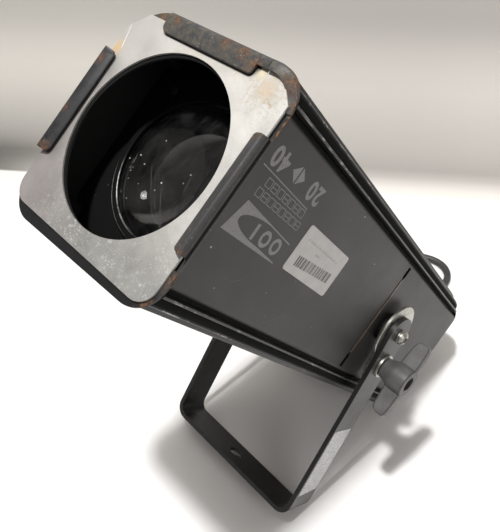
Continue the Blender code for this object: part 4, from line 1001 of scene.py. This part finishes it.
def seat_edge_painted_light():
    """Thin edges of the lens seat: painted light, bright metal on the side that the light reaches,
    and painted shade, near black elsewhere.
    """
    p = Paint("seat_edge_painted_light", grey(0.35), 0.35, 0.6)
    side = p.near((-25, -33, -35), 30, 0.7)
    # Painted light on the lit side, painted shade elsewhere.
    p.colour = p.mix(p.all(side, p.patches(0.3, 0.6, 3, 4)), grey(0.004), grey(0.42, 0.02))
    bm = bmesh.new()
    for r, z, thick in ((43.95, -34.6, 0.42), (47.6, -34.6, 0.08)):
        rings = []
        for x, y in circle(0, 0, 1, 96):
            section = [((r + u) * x, (r + u) * y, z + v) for u, v in circle(0, 0, thick, 8)]
            rings.append([bm.verts.new((u, v + HOUSING_Y, h)) for u, v, h in section])
        for i in range(96):
            bridge(bm, rings[i - 1], rings[i])
    piece("lens_seat_edges", bm, p.done(), "front_carriage", BODY, 0, 60)


LENS_R = 46.5
FRONT_CURVE = 120
REAR_CURVE = 110


def front_glass():
    """The front lens, its rear face a second curve a little off centre."""
    def front(x, y):
        return -28.9 - (FRONT_CURVE - sqrt(FRONT_CURVE**2 - x * x - y * y))

    def rear(x, y):
        if hypot(x, y) > 43.6:
            return -41.3
        return -55.37 + REAR_CURVE - sqrt(REAR_CURVE**2 - (x - 1.74) ** 2 - (y + 9.88) ** 2)

    radii = [LENS_R * i / 14 for i in range(1, 13)] + [43.5, 43.7, 45.4, LENS_R]
    bm = bmesh.new()
    rims = []
    for height in (front, rear):
        middle = bm.verts.new((0, HOUSING_Y, height(0, 0)))
        rings = []
        for r in radii:
            points = [(x, y + HOUSING_Y, height(x, y)) for x, y in circle(0, 0, r, 96)]
            rings.append([bm.verts.new(point) for point in points])
        for i in range(96):
            bm.faces.new((middle, rings[0][i - 1], rings[0][i]))
        for a, b in zip(rings, rings[1:]):
            bridge(bm, a, b)
        rims.append(rings[-1])
    bridge(bm, *rims)
    stand_in("front_glass", bm, "front_lens", 0, 40)


ring()
plate()
right_blade()
front_glass()
seat_edge_painted_light()


# Small details that only the scene adds

def chips():
    """Dust and grit stuck to the front lens."""
    mat = two_tone("grit", 0.6, grey(0.6), grey(0.85), 0, 1, 0.5)
    random.seed(4)
    spots = (
        (-18.4, 11.4), (-30.4, -3.3), (-39.2, -8.4), (-21.9, -6.4), (-31.9, -11.6),
        (-32.6, -13.9), (-30.4, -18.4), (-18.8, -17.6), (-1.8, -9.6), (-3.7, -15.1),
        (-22.8, -28.4), (12.5, 3), (11.5, -3),
    )
    bm = bmesh.new()
    for x, y in spots:
        r = random.uniform(0.28, 0.5)
        outline = []
        for c, s in circle(0, 0, 1, 8):
            out_x = r * random.uniform(0.6, 1.1)
            out_y = r * random.uniform(0.6, 1.1)
            outline.append((x + out_x * c, y + out_y * s))
        z = lens_surface(hypot(x, y - HOUSING_Y))
        prism(bm, outline, z - 0.1, z + 0.12)
    piece("lens_grit", bm, mat, "front_carriage")


def lens_surface(r):
    """Height of the front lens' face at radius r, read from the node."""
    points = [BODY.inverted() @ v.co for v in NODES["front_lens"].data.vertices]
    return min(points, key=lambda p: abs(hypot(p.x, p.y - HOUSING_Y) - r) - 0.001 * p.z).z


PRINT_LOW = HALF + 0.01
PRINT_HIGH = HALF + 0.06


def side_graphics():
    """Printed block, rule, rows of boxes, arrows and dial numbers on the right side."""
    ink = two_tone("print_grey", 0.5, grey(0.2, 0.01), grey(0.07), 0.5, 0.72, 0.7, 4, 0.7)
    bm = bmesh.new()

    def mark(outline, *holes):
        prism(bm, outline, PRINT_LOW, PRINT_HIGH, across, holes)

    def top(z):
        return 8 + 0.078 * (z + 17)

    block = [(-10.6, -11.2), (8, -17), (top(-72), -72), (top(-72) - 0.7, -72)]
    block += [(-1.6 + (top(-46) + 0.8) * y, -46 + 27 * z) for y, z in arc(0, 0, 1, 0, 180, 24)]
    block += [(-9.9, -69), (-10.6, -69)]
    mark(block)
    for z in (-49, -61.5):
        mark(circle(-2.4, z, 5, 32), circle(-2.4, z, 2.8, 24))
    mark(rect(-7, -36, 9.2, 2.6))
    mark([(25.5, -10.2), (26.1, -10.2), (24.6, -66), (24, -66)])
    for y, z0, count, wide in ((18.2, -20.5, 7, 5.6), (11.6, -18, 8, 5.5)):
        for i in range(count):
            z = z0 - (wide + 1.1) * i
            mark(rect(y, z, 4.9, wide), rect(y + 0.4, z - 0.5, 4.1, wide - 1))
            if i % 2:
                mark(rect(y + 2.2, z - 0.5, 0.4, wide - 1))
    for tip, base in ((-33.2, -39.8), (-47.6, -41)):
        mark([(34, tip), (39, base), (29, base)])
    piece("side_print", bm, ink)
    for text, y, z in (("40", 38.2, -28.2), ("20", 38.6, -71.4)):
        digit(text, y, z, ink)


def digit(text, y, z, mat):
    """A plain number, upright when the lantern hangs."""
    data = bpy.data.curves.new("numeral_" + text, "FONT")
    data.body = text
    data.size = 15
    data.extrude = (PRINT_HIGH - PRINT_LOW) / 2
    data.offset = 0.5
    data.space_character = 1.12
    data.resolution_u = 4
    maker = added("numeral_" + text, data)
    bpy.context.view_layer.update()
    graph = bpy.context.evaluated_depsgraph_get()
    mesh = bpy.data.meshes.new_from_object(maker.evaluated_get(graph))
    bpy.data.objects.remove(maker)
    bm = bmesh.new()
    bm.from_mesh(mesh)
    for v in bm.verts:
        u, w, h = v.co
        v.co = ((PRINT_LOW + PRINT_HIGH) / 2 + h, y - w, z + u)
    piece("numeral_" + text, bm, mat)


def label():
    """White sticker with generic bars."""
    paper = two_tone("sticker_white", 0.6, grey(0.52, 0.01), grey(0.44, 0.02), 0.35, 0.75, 9, 4)
    ink = two_tone("sticker_ink", 0.6, grey(0.02), grey(0.08), 0, 1, 0.6)
    faint = two_tone("sticker_faint", 0.6, grey(0.27), grey(0.4), 0, 1, 0.6)
    low = PRINT_LOW
    face = low + 0.12
    bm = prism(bmesh.new(), round_box(-9.4, 20.7, -143.4, -79.8, 2.2, 5), low, face, across)
    piece("sticker", bm, paper, "housing", BODY, 0.03)
    random.seed(11)
    bars = bmesh.new()
    z = -88.5
    while z > -135:
        wide = random.choice((0.45, 0.45, 0.9, 1.35))
        prism(bars, rect(-4.3 - 0.06 * (z + 88.5), z, 6.9, wide), face, low + 0.14, across)
        z -= wide + random.choice((0.5, 0.5, 1))
    piece("sticker_bars", bars, ink)
    rows = bmesh.new()
    for y, z0, z1, wide in ((12.2, -87, -133, 1.3), (7.6, -103.5, -109.5, 1.6)):
        z = z0
        while z > z1:
            prism(rows, rect(y, z, wide, 1.4), face, low + 0.13, across)
            z -= random.choice((2, 2, 3.2))
    piece("sticker_rows", rows, faint)


def tape():
    """Strip of silver glitter tape on the outer face of the near arm."""
    p = Paint("glitter_tape", grey(0.55), 0.4, 0.7)
    flakes = p.new("TexVoronoi", {"Scale": 1, "Vector": p.at((2.3, 2.3, 2.3))})
    shade = p.axes(flakes.outputs["Color"])
    p.colour = p.mix(shade[0], grey(0.2), grey(0.75))
    p.done(p.blend(shade[1], 0.2, 0.55), shade[2], 0.5, 0.0002)
    ends = [(95, -13), (94.2, 15.6), (163, 15), (161.5, -13.6)]
    outline = []
    random.seed(6)
    for (u0, v0), (u1, v1) in zip(ends, ends[1:] + ends[:1]):
        for i in range(6):
            u = u0 + (u1 - u0) * i / 6 + random.uniform(-0.25, 0.25)
            outline.append((u, v0 + (v1 - v0) * i / 6 + random.uniform(-0.12, 0.12)))
    bm = prism(bmesh.new(), outline, YOKE_OUT + 0.01, YOKE_OUT + 0.22, on_yoke)
    piece("glitter_tape", bm, p.mat, "yoke", BODY, 0.04)


def screw(bm, x, y, z, height, sign):
    """Pan head of a small screw, standing on a face."""
    r = 3.2
    profile = [
        (0, -0.6), (r * 0.96, -0.6), (r, 0.1), (r * 0.96, height * 0.45), (r * 0.75, height * 0.85),
        (r * 0.35, height), (r * 0.3, height * 0.6), (0, height * 0.55),
    ]
    lathe(bm, profile, 28, (x, y + HOUSING_Y, z), sign)


def screws():
    """Screw heads on the carrier's corners and the rear cover."""
    black = metal("screw_black", (0.05, 0.05, 0.05), 0.6)
    bm = bmesh.new()
    for x, y in ((-43.2, 38.8), (43.2, 38.8), (43.2, -38.8)):
        screw(bm, x, y, -37, 1.6, 1)
    piece("carrier_screws", bm, black, "front_carriage")
    bm = bmesh.new()
    for x in (-50, 50):
        for y in (-50, 50):
            screw(bm, x, y, REAR_Z, 1.8, -1)
    piece("rear_screws", bm, steel)


chips()
side_graphics()
label()
tape()
screws()


# Light, floor and background

def area(name, at, to, size, power, colour):
    """A round soft light at a ground-frame point, in millimetres."""
    data = bpy.data.lights.new(name, "AREA")
    data.shape = "DISK"
    data.size = size
    data.energy = power
    data.color = colour
    made = added(name, data)
    place = GROUND @ Vector(at)
    way = (GROUND @ Vector(to)) - place
    made.location = place
    made.rotation_euler = way.to_track_quat("-Z", "Y").to_euler()


FOOT = Vector((-345, 350, 0))
ALONG = Vector((0.776, 0.63, 0))
AWAY = Vector((-0.63, 0.776, 0))
# Painted light and shade: the wall's tone by height in millimetres.
WALL_LIGHT_BY_HEIGHT = (
    (0, 0.877), (5, 0.74), (14, 0.58), (26, 0.535), (46, 0.595), (66, 0.647), (85, 0.682),
    (103, 0.717), (120, 0.751), (144, 0.78), (168, 0.756), (184, 0.71), (199, 0.659), (214, 0.59),
    (229, 0.532), (243, 0.502), (270, 0.508), (500, 0.578),
)
# Painted shade: the wall darker round a spot at its foot, by distance from it.
WALL_FOOT_SHADE = (
    (0, 0.2), (0.15, 0.25), (0.42, 0.43), (0.7, 0.62), (1, 0.71), (1.4, 0.78), (1.9, 0.84),
    (2.6, 0.91), (3.5, 0.96), (4.6, 1),
)


def backdrop():
    """Pale floor that turns up into a wall, with painted light and shade on the wall: its tone
    changes with height, darkens round a spot at its foot and shifts along its length.
    """
    radius = 25
    profile = [(-4000, 0), (-600, 0), (-radius, 0)]
    profile += arc(-radius, radius, radius, -90, 0, 12)[1:] + [(0, 400), (0, 2500)]
    bm = bmesh.new()
    rows = []
    for side in (-3500, 3500):
        end = FOOT + ALONG * side
        rows.append([bm.verts.new(end + AWAY * d + Vector((0, 0, h))) for d, h in profile])
    for i in range(len(profile) - 1):
        bm.faces.new((rows[0][i], rows[1][i], rows[1][i + 1], rows[0][i + 1]))
    data = bpy.data.meshes.new("backdrop")
    bm.transform(GROUND)
    bm.to_mesh(data)
    bm.free()
    data.shade_smooth()
    made = added("backdrop", data)
    p = Paint("backdrop_paper", grey(0.87), 0.7)
    where = p.new("TexCoord").outputs["Object"]
    foot = GROUND @ FOOT

    def measure(axis):
        """Distance from the wall's foot along an axis, in millimetres."""
        along = p.vector("DOT_PRODUCT", where, axis * 1000).outputs["Value"]
        return p.add(along, -1000 * foot.dot(axis))

    def tones(value, full, stops):
        """Grey tones along a value, the stops given in its own unit."""
        node = p.new("ValToRGB", {0: p.ramp(value, 0, full)})
        while len(node.color_ramp.elements) < len(stops):
            node.color_ramp.elements.new(1)
        for element, (at, tone) in zip(node.color_ramp.elements, stops):
            element.position = at / full
            element.color = (*grey(tone), 1)
        return node.outputs[0]

    height = measure(Vector((0, 0, 1)))
    left = p.all(p.add(measure(ALONG), 380), 1 / 180)
    up = p.all(height, 1 / 70)
    away = p.math("SQRT", p.add(p.all(left, left), p.all(up, up)))
    on_wall = p.ramp(measure(AWAY), -26, -22)
    shade = p.mix(on_wall, (1, 1, 1), tones(away, 4.6, WALL_FOOT_SHADE))
    dark = p.mix(1, tones(height, 500, WALL_LIGHT_BY_HEIGHT), shade, "MULTIPLY")
    # Painted light: the wall a little brighter and warmer at one end, darker at the other.
    tint = p.mix(p.ramp(measure(ALONG), -150, 250), (1.06, 1.02, 0.95), (0.965, 0.925, 0.875))
    p.colour = p.mix(on_wall, dark, tint, "MULTIPLY")
    p.done()
    # The wall is open from behind, so that the object shows from there too.
    behind = p.new("NewGeometry").outputs["Backfacing"]
    clear = p.new("BsdfTransparent").outputs[0]
    sides = p.new("MixShader", {0: behind, 1: p.bsdf.outputs[0], 2: clear})
    p.tree.links.new(sides.outputs[0], p.tree.nodes["Material Output"].inputs["Surface"])
    data.materials.append(p.mat)


# Soft studio light from all sides
world = bpy.data.worlds.new("studio")
SCENE.world = world
world.use_nodes = True
light = world.node_tree.nodes["Background"]
light.inputs["Color"].default_value = (1, 0.93, 0.89, 1)
light.inputs["Strength"].default_value = 0.24

WHITE = (1, 0.99, 0.975)

backdrop()
area("key", (-8, -240, 2000), (0, 150, 100), 0.12, 30, WHITE)
area("glow", (-8, -240, 2004), (0, 150, 100), 0.28, 9, WHITE)
area("right", (1500, -100, 1000), (0, 150, 150), 0.9, 5, (1, 0.98, 0.95))
SCENE.view_settings.view_transform = "Standard"
